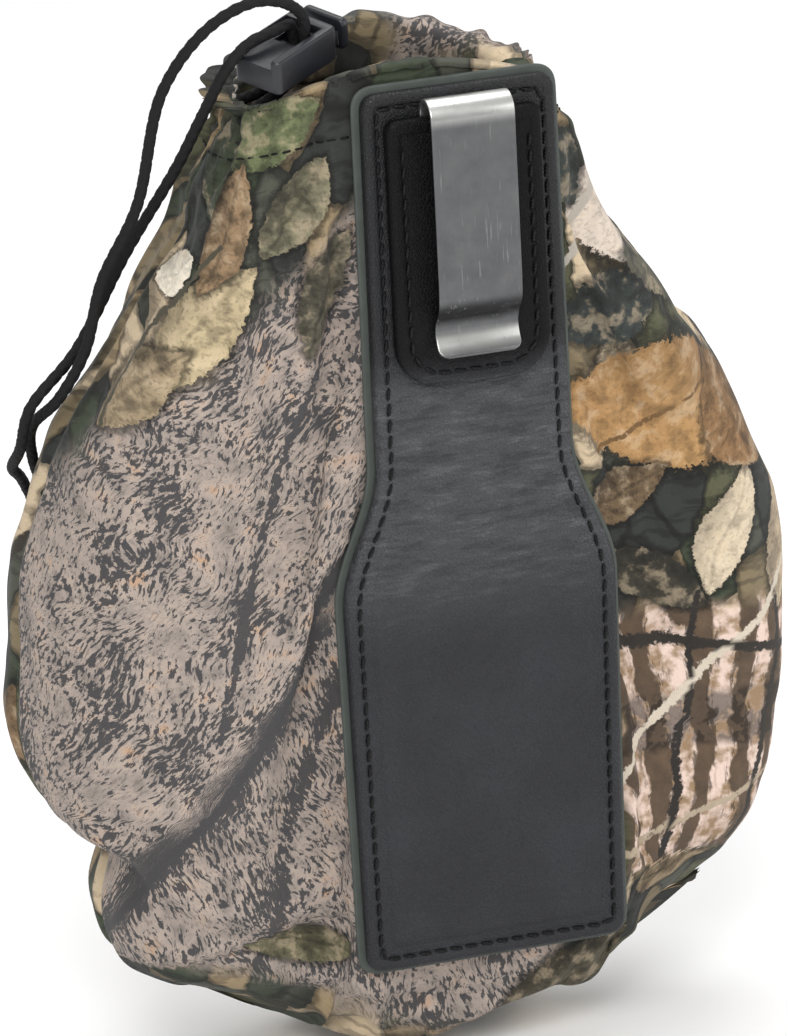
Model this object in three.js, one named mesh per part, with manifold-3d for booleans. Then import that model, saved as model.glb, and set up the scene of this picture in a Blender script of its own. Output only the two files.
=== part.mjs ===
// Drawstring pouch with a leather belt-clip panel, carrying a grunt tube call inside it.
// Millimetres, +Z up. The finished object's origin is the middle of the belt clip's inner
// face. The pieces are drawn in a working frame where X = 0 is the centreline of the leather
// panel, Y = 0 the panel's rear plane (the panel faces -Y), and Z = 0 the lowest point of
// the pouch; the last group moves them all from there.
import * as THREE from 'three';
import { mergeVertices } from 'three/addons/utils/BufferGeometryUtils.js';
import Module from 'manifold-3d';

const wasm = await Module();
wasm.setup();

// ---- driving dimensions ------------------------------------------------------------------

const GAP = 0.3;                    // clearance between neighbouring pieces

const PANEL_BOTTOM = 28;            // height of the leather panel's lower edge
const PANEL_HEIGHT = 220;
const PANEL_TOP = PANEL_BOTTOM + PANEL_HEIGHT;
const PANEL_TOP_HALF = 24.2;        // half-widths of the bottle-shaped panel
const PANEL_NECK_HALF = 24.7;
const PANEL_FLARE_HALF = 34.6;
const PANEL_FOOT_HALF = 33.4;
const PANEL_NECK_Z = 128;           // where the neck starts to flare, above the lower edge
const PANEL_FLARE_Z = 93;
const PANEL_CORNER = 4.5;

const BACKING_FRONT = -1.2;         // the layers of the panel, from the pouch outwards
const BACKING_RIM = 1.6;            // the backing shows this far around the leather
const LEATHER_BACK = -1.5;
const LEATHER_FRONT = -5.0;
const STIFFENER_BACK = -2.5;
const STIFFENER_FRONT = -3.4;
const STIFFENER_INSET = 6;
const THREAD_INSET = 2.9;           // outer edge of the stitch line, in from the leather's edge
const THREAD_WIDTH = 0.8;
const THREAD_DEPTH = 0.6;

const PATCH_HALF = 19.5;            // the leather patch that covers the clip's inner leg
const PATCH_TOP = PANEL_BOTTOM + 214;
const PATCH_BOTTOM = PANEL_BOTTOM + 147.4;
const PATCH_CORNER = 11;
const PATCH_BACK = LEATHER_FRONT - GAP;
const PATCH_FRONT = -8.6;
const PATCH_POCKET = -7.5;
const PATCH_THREAD_INSET = 3.2;
const PATCH_THREAD_DROP = 3;        // the thread starts this far below the patch's top

const CLIP_WIDTH = 21;
const CLIP_THICKNESS = 1.1;
const CLIP_LEG_Y = -5.85;           // centreline of the inner leg
const CLIP_BLADE_Y = -14.25;        // centreline of the blade at the top bend
const CLIP_BEND_Z = PANEL_BOTTOM + 214.3;
const CLIP_LEG_BOTTOM = PANEL_BOTTOM + 168;
const CLIP_FLAT_TOP = 238;          // the blade is flat between these heights
const CLIP_FLAT_BOTTOM = 204;
const CLIP_FACE_Z = 221;            // middle of the flat
const RIVET_HEIGHTS = { clip_rivet_lower: 204, clip_rivet_upper: 226 };
const RIVET_RADIUS = 1.5;
const RIVET_HEAD = 2.9;
const RIVET_HEAD_BACK = -6.7;
const RIVET_HEAD_FRONT = -7.2;
const RIVET_FLANGE = 0.7;           // thickness of the flange behind the panel

const CLOTH = 1.2;                  // cloth thickness, lining included
const POUCH_FRONT = 0.3;            // front of the cloth behind the panel
const SEAM_GAP = 0.2;               // half the gap between the two cloth halves at the seam
const POUCH_COLUMNS = 16;
const BODY_ROWS = 12;               // rows of the pouch wall above its rounded bottom
const CLOSE_ROWS = 4;
const FRONT_FLATNESS = 3.4;         // superellipse powers of the two halves' cross-section
const REAR_FLATNESS = 2.4;

const CORD_RADIUS = 1.5;
const CORD_SIDES = 5;
const CASING_DROP = 7;              // depth of the cord below the rim
const CASING_INSET = 3.1;           // and in from the outside of the casing

const LOCK_LENGTH = 22;             // cord lock body
const LOCK_WIDTH = 14;
const LOCK_HEIGHT = 9;
const LOCK_CENTRE = new THREE.Vector3(-36.6, 13.2, 256.4);
const LOCK_TILT = 10.4;             // degrees about the lock's own long axis
const LOCK_RISE = 12;               // degrees its button end is above level
const LOCK_YAW = 30;                // degrees its button end turns to the rear
const LOCK_CORD_X = 5;              // where the two strands pass, along the lock
const LOCK_CORD_SPREAD = 1.85;
const LOCK_TRAVEL = 2.4;            // travel of the button

const CALL_X = 1;                   // the call's axis inside the pouch
const CALL_Y = 25;
const CALL_BASE = 3;                // height of the bell's rim above the call's own zero
const CALL_SEGMENTS = 16;

// ---- shared helpers ----------------------------------------------------------------------

const radians = THREE.MathUtils.degToRad;

// Merge a geometry down to shared positions, with its faces pointing out.
function closed(geometry) {
  const bare = geometry.clone();
  bare.deleteAttribute('normal');
  bare.deleteAttribute('uv');
  const merged = mergeVertices(bare, 1e-4);
  const position = merged.attributes.position;
  const kept = [];
  let volume = 0;
  const a = new THREE.Vector3();
  const b = new THREE.Vector3();
  const c = new THREE.Vector3();
  for (let i = 0; i < merged.index.count; i += 3) {
    const corner = [0, 1, 2].map((k) => merged.index.getX(i + k));
    if (corner[0] === corner[1] || corner[1] === corner[2] || corner[0] === corner[2]) continue;
    kept.push(...corner);
    a.fromBufferAttribute(position, corner[0]);
    b.fromBufferAttribute(position, corner[1]);
    c.fromBufferAttribute(position, corner[2]);
    volume += a.dot(b.cross(c));
  }
  if (volume < 0) kept.reverse();
  merged.setIndex(kept);
  return merged;
}

function toSolid(geometry) {
  const mesh = closed(geometry);
  return new wasm.Manifold(new wasm.Mesh({
    numProp: 3,
    vertProperties: new Float32Array(mesh.attributes.position.array),
    triVerts: new Uint32Array(mesh.index.array),
  }));
}

function toGeometry(solid) {
  const mesh = solid.getMesh();
  const geometry = new THREE.BufferGeometry();
  geometry.setAttribute('position', new THREE.BufferAttribute(mesh.vertProperties, 3));
  geometry.setIndex(new THREE.BufferAttribute(mesh.triVerts, 1));
  return geometry;
}

function cut(geometry, ...tools) {
  return toGeometry(tools.reduce((solid, tool) => solid.subtract(toSolid(tool)), toSolid(geometry)));
}

function join(geometry, ...others) {
  return toGeometry(others.reduce((solid, other) => solid.add(toSolid(other)), toSolid(geometry)));
}

function box(x0, x1, y0, y1, z0, z1) {
  const geometry = new THREE.BoxGeometry(x1 - x0, y1 - y0, z1 - z0);
  return geometry.translate((x0 + x1) / 2, (y0 + y1) / 2, (z0 + z1) / 2);
}

// A shape drawn in (x, z), extruded from y = back towards y = front.
function plate(shape, back, front, bevel = 0) {
  const geometry = new THREE.ExtrudeGeometry(shape, {
    depth: back - front - 2 * bevel,
    curveSegments: 4,
    bevelEnabled: bevel > 0,
    bevelThickness: bevel,
    bevelSize: bevel,
    bevelOffset: -bevel,
    bevelSegments: 1,
  });
  return geometry.rotateX(Math.PI / 2).translate(0, back - bevel, 0);
}

// A profile of [radius, height] pairs turned about the call's own axis.
function turned(profile) {
  const points = profile.map(([r, z]) => new THREE.Vector2(r, z));
  if (profile[0][0] > 0) points.push(points[0].clone());
  return new THREE.LatheGeometry(points, CALL_SEGMENTS).rotateX(Math.PI / 2);
}

function ring(major, minor, z) {
  return new THREE.TorusGeometry(major, minor, 6, CALL_SEGMENTS).translate(0, 0, z);
}

function swept(curve, radius, sides, steps) {
  const section = new THREE.Shape();
  for (let i = 0; i < sides; i += 1) {
    const angle = (2 * Math.PI * i) / sides;
    const x = radius * Math.cos(angle);
    const y = radius * Math.sin(angle);
    if (i === 0) section.moveTo(x, y);
    else section.lineTo(x, y);
  }
  section.closePath();
  return new THREE.ExtrudeGeometry(section, { steps, extrudePath: curve, bevelEnabled: false });
}

function spline(values, t) {
  const points = values.map((value, i) => new THREE.Vector2(i, value));
  return new THREE.SplineCurve(points).getPoint(THREE.MathUtils.clamp(t, 0, 1)).y;
}

// ---- leather panel and clip --------------------------------------------------------------

// The bottle-shaped outline, grown outwards by `grow` (inwards if negative).
function panelShape(grow) {
  const shape = new THREE.Shape();
  const corner = Math.max(PANEL_CORNER + grow, 0.6);
  const top = PANEL_TOP + grow;
  const bottom = PANEL_BOTTOM - grow;
  const topHalf = PANEL_TOP_HALF + grow;
  const neckHalf = PANEL_NECK_HALF + grow;
  const flareHalf = PANEL_FLARE_HALF + grow;
  const footHalf = PANEL_FOOT_HALF + grow;
  const neckZ = PANEL_BOTTOM + PANEL_NECK_Z;
  const flareZ = PANEL_BOTTOM + PANEL_FLARE_Z;
  const bend = 12;
  shape.moveTo(-footHalf + corner, bottom);
  shape.lineTo(footHalf - corner, bottom);
  shape.quadraticCurveTo(footHalf, bottom, footHalf, bottom + corner);
  shape.lineTo(flareHalf, flareZ);
  shape.bezierCurveTo(flareHalf, flareZ + bend, neckHalf, neckZ - bend, neckHalf, neckZ);
  shape.lineTo(topHalf, top - corner);
  shape.quadraticCurveTo(topHalf, top, topHalf - corner, top);
  shape.lineTo(-topHalf + corner, top);
  shape.quadraticCurveTo(-topHalf, top, -topHalf, top - corner);
  shape.lineTo(-neckHalf, neckZ);
  shape.bezierCurveTo(-neckHalf, neckZ - bend, -flareHalf, flareZ + bend, -flareHalf, flareZ);
  shape.lineTo(-footHalf, bottom + corner);
  shape.quadraticCurveTo(-footHalf, bottom, -footHalf + corner, bottom);
  return shape;
}

// A closed band between two insets of the panel outline.
function panelBand(outerInset, innerInset) {
  const shape = panelShape(-outerInset);
  shape.holes.push(panelShape(-innerInset));
  return shape;
}

function rivetHole(height, radius, back, front) {
  const geometry = new THREE.CylinderGeometry(radius, radius, back - front, 12);
  return geometry.translate(0, (back + front) / 2, height);
}

function leatherPanel() {
  const recess = plate(panelShape(-STIFFENER_INSET + GAP), LEATHER_BACK + 1, STIFFENER_FRONT - GAP);
  const groove = plate(
    panelBand(THREAD_INSET - GAP, THREAD_INSET + THREAD_WIDTH + GAP),
    LEATHER_FRONT + THREAD_DEPTH + GAP,
    LEATHER_FRONT - 1,
  );
  const holes = Object.values(RIVET_HEIGHTS)
    .map((height) => rivetHole(height, RIVET_RADIUS + GAP, 0, LEATHER_FRONT - 1));
  return cut(plate(panelShape(0), LEATHER_BACK, LEATHER_FRONT, 0.6), recess, groove, ...holes);
}

function panelStiffener() {
  const holes = Object.values(RIVET_HEIGHTS)
    .map((height) => rivetHole(height, RIVET_RADIUS + GAP, 0, LEATHER_FRONT));
  return cut(plate(panelShape(-STIFFENER_INSET), STIFFENER_BACK, STIFFENER_FRONT), ...holes);
}

function panelThread() {
  const band = panelBand(THREAD_INSET, THREAD_INSET + THREAD_WIDTH);
  return plate(band, LEATHER_FRONT + THREAD_DEPTH, LEATHER_FRONT);
}

// The patch outline: square at the top, round at its two lower corners.
function patchShape(inset, top = PATCH_TOP) {
  const half = PATCH_HALF - inset;
  const bottom = PATCH_BOTTOM + inset;
  const corner = PATCH_CORNER - inset;
  const shape = new THREE.Shape();
  shape.moveTo(-half, top);
  shape.lineTo(-half, bottom + corner);
  shape.absarc(-half + corner, bottom + corner, corner, Math.PI, 1.5 * Math.PI);
  shape.lineTo(half - corner, bottom);
  shape.absarc(half - corner, bottom + corner, corner, -0.5 * Math.PI, 0);
  shape.lineTo(half, top);
  shape.closePath();
  return shape;
}

// A U-shaped band along the patch's sides and foot, open at the top.
function patchBand(outerInset, innerInset, back, front, top) {
  const outer = plate(patchShape(outerInset, top), back, front);
  return cut(outer, plate(patchShape(innerInset, top + 1), back + 1, front - 1));
}

function clipPatch() {
  const pocketHalf = CLIP_WIDTH / 2 + GAP;
  const pocket = box(
    -pocketHalf, pocketHalf, PATCH_POCKET, PATCH_BACK + 1, CLIP_LEG_BOTTOM - 1, PATCH_TOP + 1,
  );
  const groove = patchBand(
    PATCH_THREAD_INSET - GAP, PATCH_THREAD_INSET + THREAD_WIDTH + GAP,
    PATCH_FRONT + THREAD_DEPTH + GAP, PATCH_FRONT - 1, PATCH_TOP - PATCH_THREAD_DROP + GAP,
  );
  return cut(plate(patchShape(0), PATCH_BACK, PATCH_FRONT, 0.5), pocket, groove);
}

function patchThread() {
  return patchBand(
    PATCH_THREAD_INSET, PATCH_THREAD_INSET + THREAD_WIDTH,
    PATCH_FRONT + THREAD_DEPTH, PATCH_FRONT, PATCH_TOP - PATCH_THREAD_DROP,
  );
}

// The outline of a strip of the clip's thickness that follows a centreline in (y, z).
function strip(centreline) {
  const half = CLIP_THICKNESS / 2;
  const sides = [[], []];
  centreline.forEach((point, i) => {
    const before = centreline[Math.max(i - 1, 0)];
    const after = centreline[Math.min(i + 1, centreline.length - 1)];
    const along = after.clone().sub(before).normalize();
    sides[0].push(new THREE.Vector2(point.x - along.y * half, point.y + along.x * half));
    sides[1].unshift(new THREE.Vector2(point.x + along.y * half, point.y - along.x * half));
  });
  return new THREE.Shape([...sides[0], ...sides[1]]);
}

function beltClip() {
  const bendRadius = (CLIP_LEG_Y - CLIP_BLADE_Y) / 2;
  const bendY = (CLIP_LEG_Y + CLIP_BLADE_Y) / 2;
  const line = [new THREE.Vector2(CLIP_LEG_Y, CLIP_LEG_BOTTOM)];
  for (let i = 0; i <= 8; i += 1) {
    const angle = (Math.PI * i) / 8;
    line.push(new THREE.Vector2(
      bendY + bendRadius * Math.cos(angle),
      CLIP_BEND_Z + bendRadius * Math.sin(angle),
    ));
  }
  line.push(new THREE.Vector2(CLIP_BLADE_Y, CLIP_FLAT_TOP));
  line.push(new THREE.Vector2(CLIP_BLADE_Y, CLIP_FLAT_BOTTOM));
  const lip = new THREE.SplineCurve([
    new THREE.Vector2(CLIP_BLADE_Y, CLIP_FLAT_BOTTOM - 2),
    new THREE.Vector2(CLIP_BLADE_Y + 0.7, 196.5),
    new THREE.Vector2(CLIP_BLADE_Y + 3.2, 193),
    new THREE.Vector2(CLIP_BLADE_Y + 4.4, 190),
    new THREE.Vector2(CLIP_BLADE_Y + 3.4, 186.4),
    new THREE.Vector2(CLIP_BLADE_Y + 1.2, 183.6),
  ]);
  line.push(...lip.getPoints(14));
  const geometry = new THREE.ExtrudeGeometry(strip(line), {
    depth: CLIP_WIDTH, bevelEnabled: false,
  });
  // The outline is drawn in (y, z) and extruded along X.
  geometry.rotateZ(Math.PI / 2).rotateY(Math.PI / 2).translate(-CLIP_WIDTH / 2, 0, 0);
  const holes = Object.values(RIVET_HEIGHTS)
    .map((height) => rivetHole(height, RIVET_RADIUS + GAP, CLIP_LEG_Y + 2, CLIP_LEG_Y - 2));
  return cut(geometry, ...holes);
}

// A tubular rivet: front head on the clip's leg, shank, and rear flange behind the stiffener.
function rivet(height) {
  const shank = rivetHole(height, RIVET_RADIUS, LEATHER_BACK, RIVET_HEAD_BACK - 0.1);
  const head = rivetHole(height, RIVET_HEAD, RIVET_HEAD_BACK, RIVET_HEAD_FRONT);
  const flange = rivetHole(height, RIVET_HEAD, LEATHER_BACK, LEATHER_BACK - RIVET_FLANGE);
  return join(shank, head, flange);
}

// ---- pouch -------------------------------------------------------------------------------

// Stations down the pouch, from the rim to the bottom seam's ends.
const LEFT_X = [-50, -57, -70, -84, -97, -106, -109, -106, -97, -78];
const RIGHT_X = [27, 32, 43, 60, 77, 87, 90, 88, 82, 66];
const SIDE_Z = [244, 227, 205, 179, 154, 129, 103, 78, 55, 27];
const MIDDLE_Z = [254, 231, 206, 179, 153, 127, 101, 75, 34];
const SEAM_Y = [24.6, 27, 30, 34, 37, 38, 38, 37, 34, 30];
const REAR_Y = [49, 54, 61, 68, 74, 77, 78, 76, 68, 60];
const CLOSING = 8 / 9;              // the bottom starts to round in at this station
const RIM_DROP_SCALE = 1 / 207;     // station per millimetre just below the rim

// A point of the pouch wall: u runs -1 (left seam) to 1 (right seam), t runs 0 (rim) to 1.
function pouchPoint(half, u, t, inset) {
  const left = spline(LEFT_X, t) + inset;
  const right = spline(RIGHT_X, t) - inset;
  const seam = spline(SEAM_Y, t) + SEAM_GAP * half;
  const turn = Math.max(t - CLOSING, 0) / (1 - CLOSING) * (Math.PI / 2);
  const middle = turn > 0
    ? inset + (MIDDLE_Z[8] - inset) * (1 - Math.sin(turn))
    : spline(MIDDLE_Z, t / CLOSING);
  const power = half < 0 ? FRONT_FLATNESS : REAR_FLATNESS;
  const bulge = Math.max(1 - Math.abs(u) ** power, 0) ** (1 / power) * Math.cos(turn);
  const face = half < 0 ? POUCH_FRONT + inset : spline(REAR_Y, t) - inset;
  return new THREE.Vector3(
    (left + right) / 2 + ((right - left) / 2) * u,
    seam + (face - seam) * bulge,
    middle + (spline(SIDE_Z, t) - middle) * u * u,
  );
}

// The folded hem as [drop below the rim, inset] for the cloth's two sides.
const HEM = [
  [[3, 0], [3, CLOTH]],
  [[0.6, 0.6], [2.2, 1.8]],
  [[0, 3.1], [1.3, 3.1]],
  [[0.6, 5.6], [2.2, 4.4]],
  [[3, 6.2], [3, 5]],
  [[12, 6.2], [12, 5]],
  [[15.5, 3.3], [15.2, 2.1]],
];

// One half of the pouch: a thick sheet from the bottom seam to the rim and over the hem.
function pouchHalf(half) {
  const wallRows = BODY_ROWS + CLOSE_ROWS;
  const rows = wallRows + HEM.length - 1;
  const sheet = new THREE.BoxGeometry(POUCH_COLUMNS, rows, 1, POUCH_COLUMNS, rows, 1);
  sheet.translate(POUCH_COLUMNS / 2, rows / 2, 0.5);
  const position = sheet.attributes.position;
  for (let i = 0; i < position.count; i += 1) {
    const angle = (Math.PI * Math.round(position.getX(i))) / POUCH_COLUMNS;
    const row = Math.round(position.getY(i));
    const layer = Math.round(position.getZ(i));
    const power = half < 0 ? FRONT_FLATNESS : REAR_FLATNESS;
    const u = -Math.sign(Math.cos(angle)) * Math.abs(Math.cos(angle)) ** (2 / power);
    let t = 0;
    let inset = CLOTH * layer;
    if (row < CLOSE_ROWS) t = 1 - (1 - CLOSING) * (row / CLOSE_ROWS);
    else if (row < wallRows) t = CLOSING * (1 - (row - CLOSE_ROWS) / BODY_ROWS);
    else {
      const [drop, depth] = HEM[row - wallRows][layer];
      t = drop * RIM_DROP_SCALE;
      inset = depth;
    }
    const point = pouchPoint(half, u, t, inset);
    position.setXYZ(i, point.x, point.y, point.z);
  }
  const rimZ = SIDE_Z[0];
  const cordExit = box(-47.4, -41, 13, 36.5, rimZ - 13, rimZ + 1);
  return cut(sheet, cordExit);
}

// The thread that holds the hem down, on the inside of the mouth.
function hemThread() {
  const points = [];
  const steps = 28;
  for (let i = 0; i <= steps; i += 1) {
    const angle = (2 * Math.PI * (i + 0.5)) / (steps + 1);
    const half = angle < Math.PI ? 1 : -1;
    const power = half < 0 ? FRONT_FLATNESS : REAR_FLATNESS;
    const c = Math.cos(angle);
    const u = -Math.sign(c) * Math.abs(c) ** (2 / power);
    points.push(pouchPoint(half, u, 17.2 * RIM_DROP_SCALE, 2.4));
  }
  return swept(new THREE.CatmullRomCurve3(points), 0.4, 4, 40);
}

// ---- drawstring and cord lock ------------------------------------------------------------

const lockTurn = new THREE.Euler(radians(LOCK_TILT), radians(-LOCK_RISE), radians(LOCK_YAW), 'ZYX');

function lockPoint(x, y, z) {
  return new THREE.Vector3(x, y, z).applyEuler(lockTurn).add(LOCK_CENTRE);
}

// Points of the cord in its channel round the mouth, from the left end back to it.
function channelPoints() {
  const points = [];
  const steps = 24;
  for (let i = 1; i < steps; i += 1) {
    const angle = (2 * Math.PI * i) / steps;
    if (i === steps / 2) continue;
    const half = angle < Math.PI ? 1 : -1;
    const power = half < 0 ? FRONT_FLATNESS : REAR_FLATNESS;
    const c = Math.cos(angle);
    const u = -Math.sign(c) * Math.abs(c) ** (2 / power);
    points.push(pouchPoint(half, u, CASING_DROP * RIM_DROP_SCALE, CASING_INSET));
  }
  return points;
}

function drawstring() {
  const v = (x, y, z) => new THREE.Vector3(x, y, z);
  const lower = -LOCK_HEIGHT / 2;
  const upper = LOCK_HEIGHT / 2;
  const rearStrand = [
    v(-88, 74, 133), v(-93, 68, 143), v(-99, 54, 151), v(-100.5, 40, 160),
    v(-99, 34, 171.6), v(-87, 34, 184), v(-74, 30, 208), v(-61.5, 25, 229),
    v(-56.5, 19, 242), lockPoint(-14.5, 5.5, 1.4), lockPoint(-8, 4.4, 4.9), lockPoint(-1, 3, 5.2),
    lockPoint(4.2, LOCK_CORD_SPREAD, upper + 0.5),
    lockPoint(LOCK_CORD_X, LOCK_CORD_SPREAD, upper - 2.5),
    lockPoint(LOCK_CORD_X, LOCK_CORD_SPREAD, lower),
    v(-37.5, 19.5, 248), v(-42, 26, 243.5),
  ];
  const frontStrand = [
    v(-42.5, 19, 242.5), v(-38.5, 15, 246.5),
    lockPoint(LOCK_CORD_X, -LOCK_CORD_SPREAD, lower),
    lockPoint(LOCK_CORD_X, -LOCK_CORD_SPREAD, upper - 2),
    lockPoint(LOCK_CORD_X - 0.4, -LOCK_CORD_SPREAD, upper + 4),
    v(-37.5, 10, 269.5), v(-45, 10, 270.5), v(-56, 12, 265), v(-66.7, 16, 250.3), v(-73.5, 20, 222),
    v(-82, 25, 203), v(-86.5, 27, 186), v(-92.5, 31, 174), v(-96, 44, 164), v(-93, 57, 152),
    v(-88, 67, 140), v(-85, 73.5, 131),
  ];
  const path = new THREE.CatmullRomCurve3([...rearStrand, ...channelPoints(), ...frontStrand]);
  const cord = swept(path, CORD_RADIUS, CORD_SIDES, 190);
  return join(cord, endKnot(v(-85, 76, 129)));
}

// An overhand knot that ties the drawstring's two ends together.
function endKnot(centre) {
  const points = [];
  const steps = 16;
  const size = 1.45;
  for (let i = 0; i <= steps; i += 1) {
    const t = 0.4 + (i / steps) * (2 * Math.PI - 0.8);
    points.push(new THREE.Vector3(
      size * (Math.sin(t) + 2 * Math.sin(2 * t)),
      size * 0.9 * -Math.sin(3 * t),
      size * (Math.cos(t) - 2 * Math.cos(2 * t)),
    ).add(centre));
  }
  return swept(new THREE.CatmullRomCurve3(points), CORD_RADIUS, CORD_SIDES, 28);
}

function roundedBlock(length, width, height, radius) {
  const x = length / 2 - radius;
  const y = width / 2 - radius;
  const shape = new THREE.Shape();
  shape.absarc(x, y, radius, 0, Math.PI / 2);
  shape.absarc(-x, y, radius, Math.PI / 2, Math.PI);
  shape.absarc(-x, -y, radius, Math.PI, 1.5 * Math.PI);
  shape.absarc(x, -y, radius, 1.5 * Math.PI, 2 * Math.PI);
  shape.closePath();
  const geometry = new THREE.ExtrudeGeometry(shape, {
    depth: height - 1, curveSegments: 3, bevelThickness: 0.5, bevelSize: 0.5, bevelOffset: -0.5,
    bevelSegments: 1,
  });
  return geometry.translate(0, 0, -height / 2 + 0.5);
}

// Pieces of the lock are drawn about the lock's centre: X along it, Z through it.
function lockBody() {
  const top = LOCK_HEIGHT / 2;
  const trough = box(-LOCK_LENGTH / 2 - 1, 8, -4.8, 6.2, top - 2.3, top + 1);
  const cordHole = box(LOCK_CORD_X - 4.4, LOCK_CORD_X + 2.1, -3.9, 3.9, -top - 1, top);
  const plungerWay = box(-9.6, LOCK_LENGTH / 2 + 1, -5, 5, -3, 1.2);
  return cut(roundedBlock(LOCK_LENGTH, LOCK_WIDTH, LOCK_HEIGHT, 1.6), trough, cordHole, plungerWay);
}

function lockButton() {
  const stem = box(0.6, LOCK_LENGTH / 2 + 3, -4.7, 4.7, -2.7, 0.9);
  const eye = box(LOCK_CORD_X - 1.85, LOCK_CORD_X + 4.5, -3.9, 3.9, -4, 4);
  const cap = roundedBlock(LOCK_HEIGHT - 0.6, LOCK_WIDTH - 1, 2.2, 1.8);
  cap.rotateY(Math.PI / 2).translate(LOCK_LENGTH / 2 + LOCK_TRAVEL + 1.4, 0, 0);
  return join(cut(stem, eye), cap);
}

function lockSpring() {
  const points = [];
  const turns = 4;
  const steps = turns * 8;
  for (let i = 0; i <= steps; i += 1) {
    const angle = (2 * Math.PI * turns * i) / steps;
    points.push(new THREE.Vector3(
      -9 + (9 * i) / steps, 1.35 * Math.cos(angle), -0.9 + 1.35 * Math.sin(angle),
    ));
  }
  return swept(new THREE.CatmullRomCurve3(points), 0.25, 5, steps * 2);
}

// ---- the call, drawn about its own axis --------------------------------------------------

function bell() {
  return turned([
    [15, 14], [16.5, 14], [16.5, 17], [13.6, 24], [12.2, 34], [14.4, 35], [14.4, 38],
    [12.2, 38.4], [12.2, 52], [10.2, 52], [10.2, 34], [11.8, 23], [15, 15.5],
  ]);
}

function corrugatedTube() {
  const wall = 1.0;
  const cuffLow = [38.8, 54];
  const cuffHigh = [132, 145.9];
  const ridges = 10;
  const pitch = (cuffHigh[0] - cuffLow[1]) / ridges;
  const outer = [[13.6, cuffLow[0]], [13.6, cuffLow[1]]];
  const inner = [[12.55, cuffLow[0]], [12.55, cuffLow[1]]];
  for (let i = 0; i < ridges; i += 1) {
    const z = cuffLow[1] + pitch * (i + 0.5);
    outer.push([15.2, z]);
    inner.push([15.2 - wall, z]);
    if (i < ridges - 1) {
      outer.push([13.0, z + pitch / 2]);
      inner.push([13.0 - wall, z + pitch / 2]);
    }
  }
  outer.push([13.6, cuffHigh[0]], [13.6, cuffHigh[1]]);
  inner.push([12.55, cuffHigh[0]], [12.55, cuffHigh[1]]);
  return turned([...outer, ...inner.reverse()]);
}

function collar(low, high) {
  return turned([
    [13.9, low], [14.9, low], [15.4, low + 0.8], [15.4, high - 0.8], [14.9, high], [13.9, high],
  ]);
}

function barrel() {
  return turned([
    [9.3, 134], [12.2, 134], [12.2, 146.3], [14.2, 146.3], [14.6, 147.2], [14.6, 158],
    [13.9, 160], [13.9, 168.2], [12.9, 168.2], [12.9, 171], [13.9, 171], [13.9, 178],
    [14.6, 180], [14.6, 188.8], [13.8, 190], [9.3, 190],
  ]);
}

function mouthpiece() {
  return turned([
    [5.9, 174], [8.9, 174], [8.9, 181.9], [7.2, 181.9], [7.2, 184.1], [8.9, 184.1],
    [8.9, 190.3], [13.2, 190.3], [13.8, 191.4], [13.2, 193], [9.8, 198], [8.4, 206],
    [8.8, 211], [9.2, 213], [8.2, 214], [6.4, 213], [4.2, 208], [4.2, 186], [5.9, 185.9],
  ]);
}

// Half of a round rod about the call's axis, on the rear or the front of a plane.
function halfRod(low, high, yLow, yHigh) {
  const rod = new THREE.CylinderGeometry(5.5, 5.5, high - low, CALL_SEGMENTS);
  rod.rotateX(Math.PI / 2).translate(0, 0, (low + high) / 2);
  const keep = box(-8, 8, yLow, yHigh, low - 1, high + 1);
  return toGeometry(toSolid(rod).intersect(toSolid(keep)));
}

function toneBoard() {
  const channel = box(-1.6, 1.6, -1, 3.4, 154, 190);
  const relief = new THREE.CylinderGeometry(160, 160, 20, 96);
  relief.rotateZ(Math.PI / 2).translate(0, -158.9, 146);
  return cut(halfRod(150, 185.6, 0.2, 8), channel, relief);
}

function reed() {
  return box(-4.2, 4.2, -0.45, -0.1, 152, 185);
}

// ---- materials and assembly --------------------------------------------------------------

function material(color, roughness, metalness = 0) {
  return new THREE.MeshStandardMaterial({ color, roughness, metalness });
}

const cloth = material(0x8b877a, 0.95);
const leather = material(0x3a3b3f, 0.5);
const backing = material(0x3c423c, 0.8);
const thread = material(0x17171a, 0.7);
const steel = material(0x74767a, 0.35, 1);
const rivetSteel = material(0xa5a6a8, 0.35, 1);
const cordBlack = material(0x1b1b1d, 0.85);
const lockPlastic = material(0x43454b, 0.45);
const springSteel = material(0xb0b2b4, 0.3, 1);
const stiffPlastic = material(0x2a2a2a, 0.7);
const rubber = material(0x151515, 0.75);
const tubeRubber = material(0x2b2d2a, 0.7);
const callPlastic = material(0x1e1f1f, 0.35);
const wood = material(0x6a4527, 0.4);
const toneWhite = material(0xd9d5c6, 0.5);
const mylar = material(0xc8d2d4, 0.25);

const pouchWithCall = new THREE.Group();
pouchWithCall.position.set(0, -(CLIP_BLADE_Y + CLIP_THICKNESS / 2), -CLIP_FACE_Z);

function add(name, geometry, finish, parent = pouchWithCall) {
  const mesh = new THREE.Mesh(closed(geometry), finish);
  mesh.name = name;
  parent.add(mesh);
}

add('pouch_front_cloth', pouchHalf(-1), cloth);
add('pouch_back_cloth', pouchHalf(1), cloth);
add('hem_thread', hemThread(), thread);

add('panel_backing', plate(panelShape(BACKING_RIM), 0, BACKING_FRONT), backing);
add('panel_stiffener', panelStiffener(), stiffPlastic);
add('leather_panel', leatherPanel(), leather);
add('panel_thread', panelThread(), thread);
add('clip_patch', clipPatch(), leather);
add('patch_thread', patchThread(), thread);
add('belt_clip', beltClip(), steel);
for (const [name, height] of Object.entries(RIVET_HEIGHTS)) add(name, rivet(height), rivetSteel);

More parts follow.
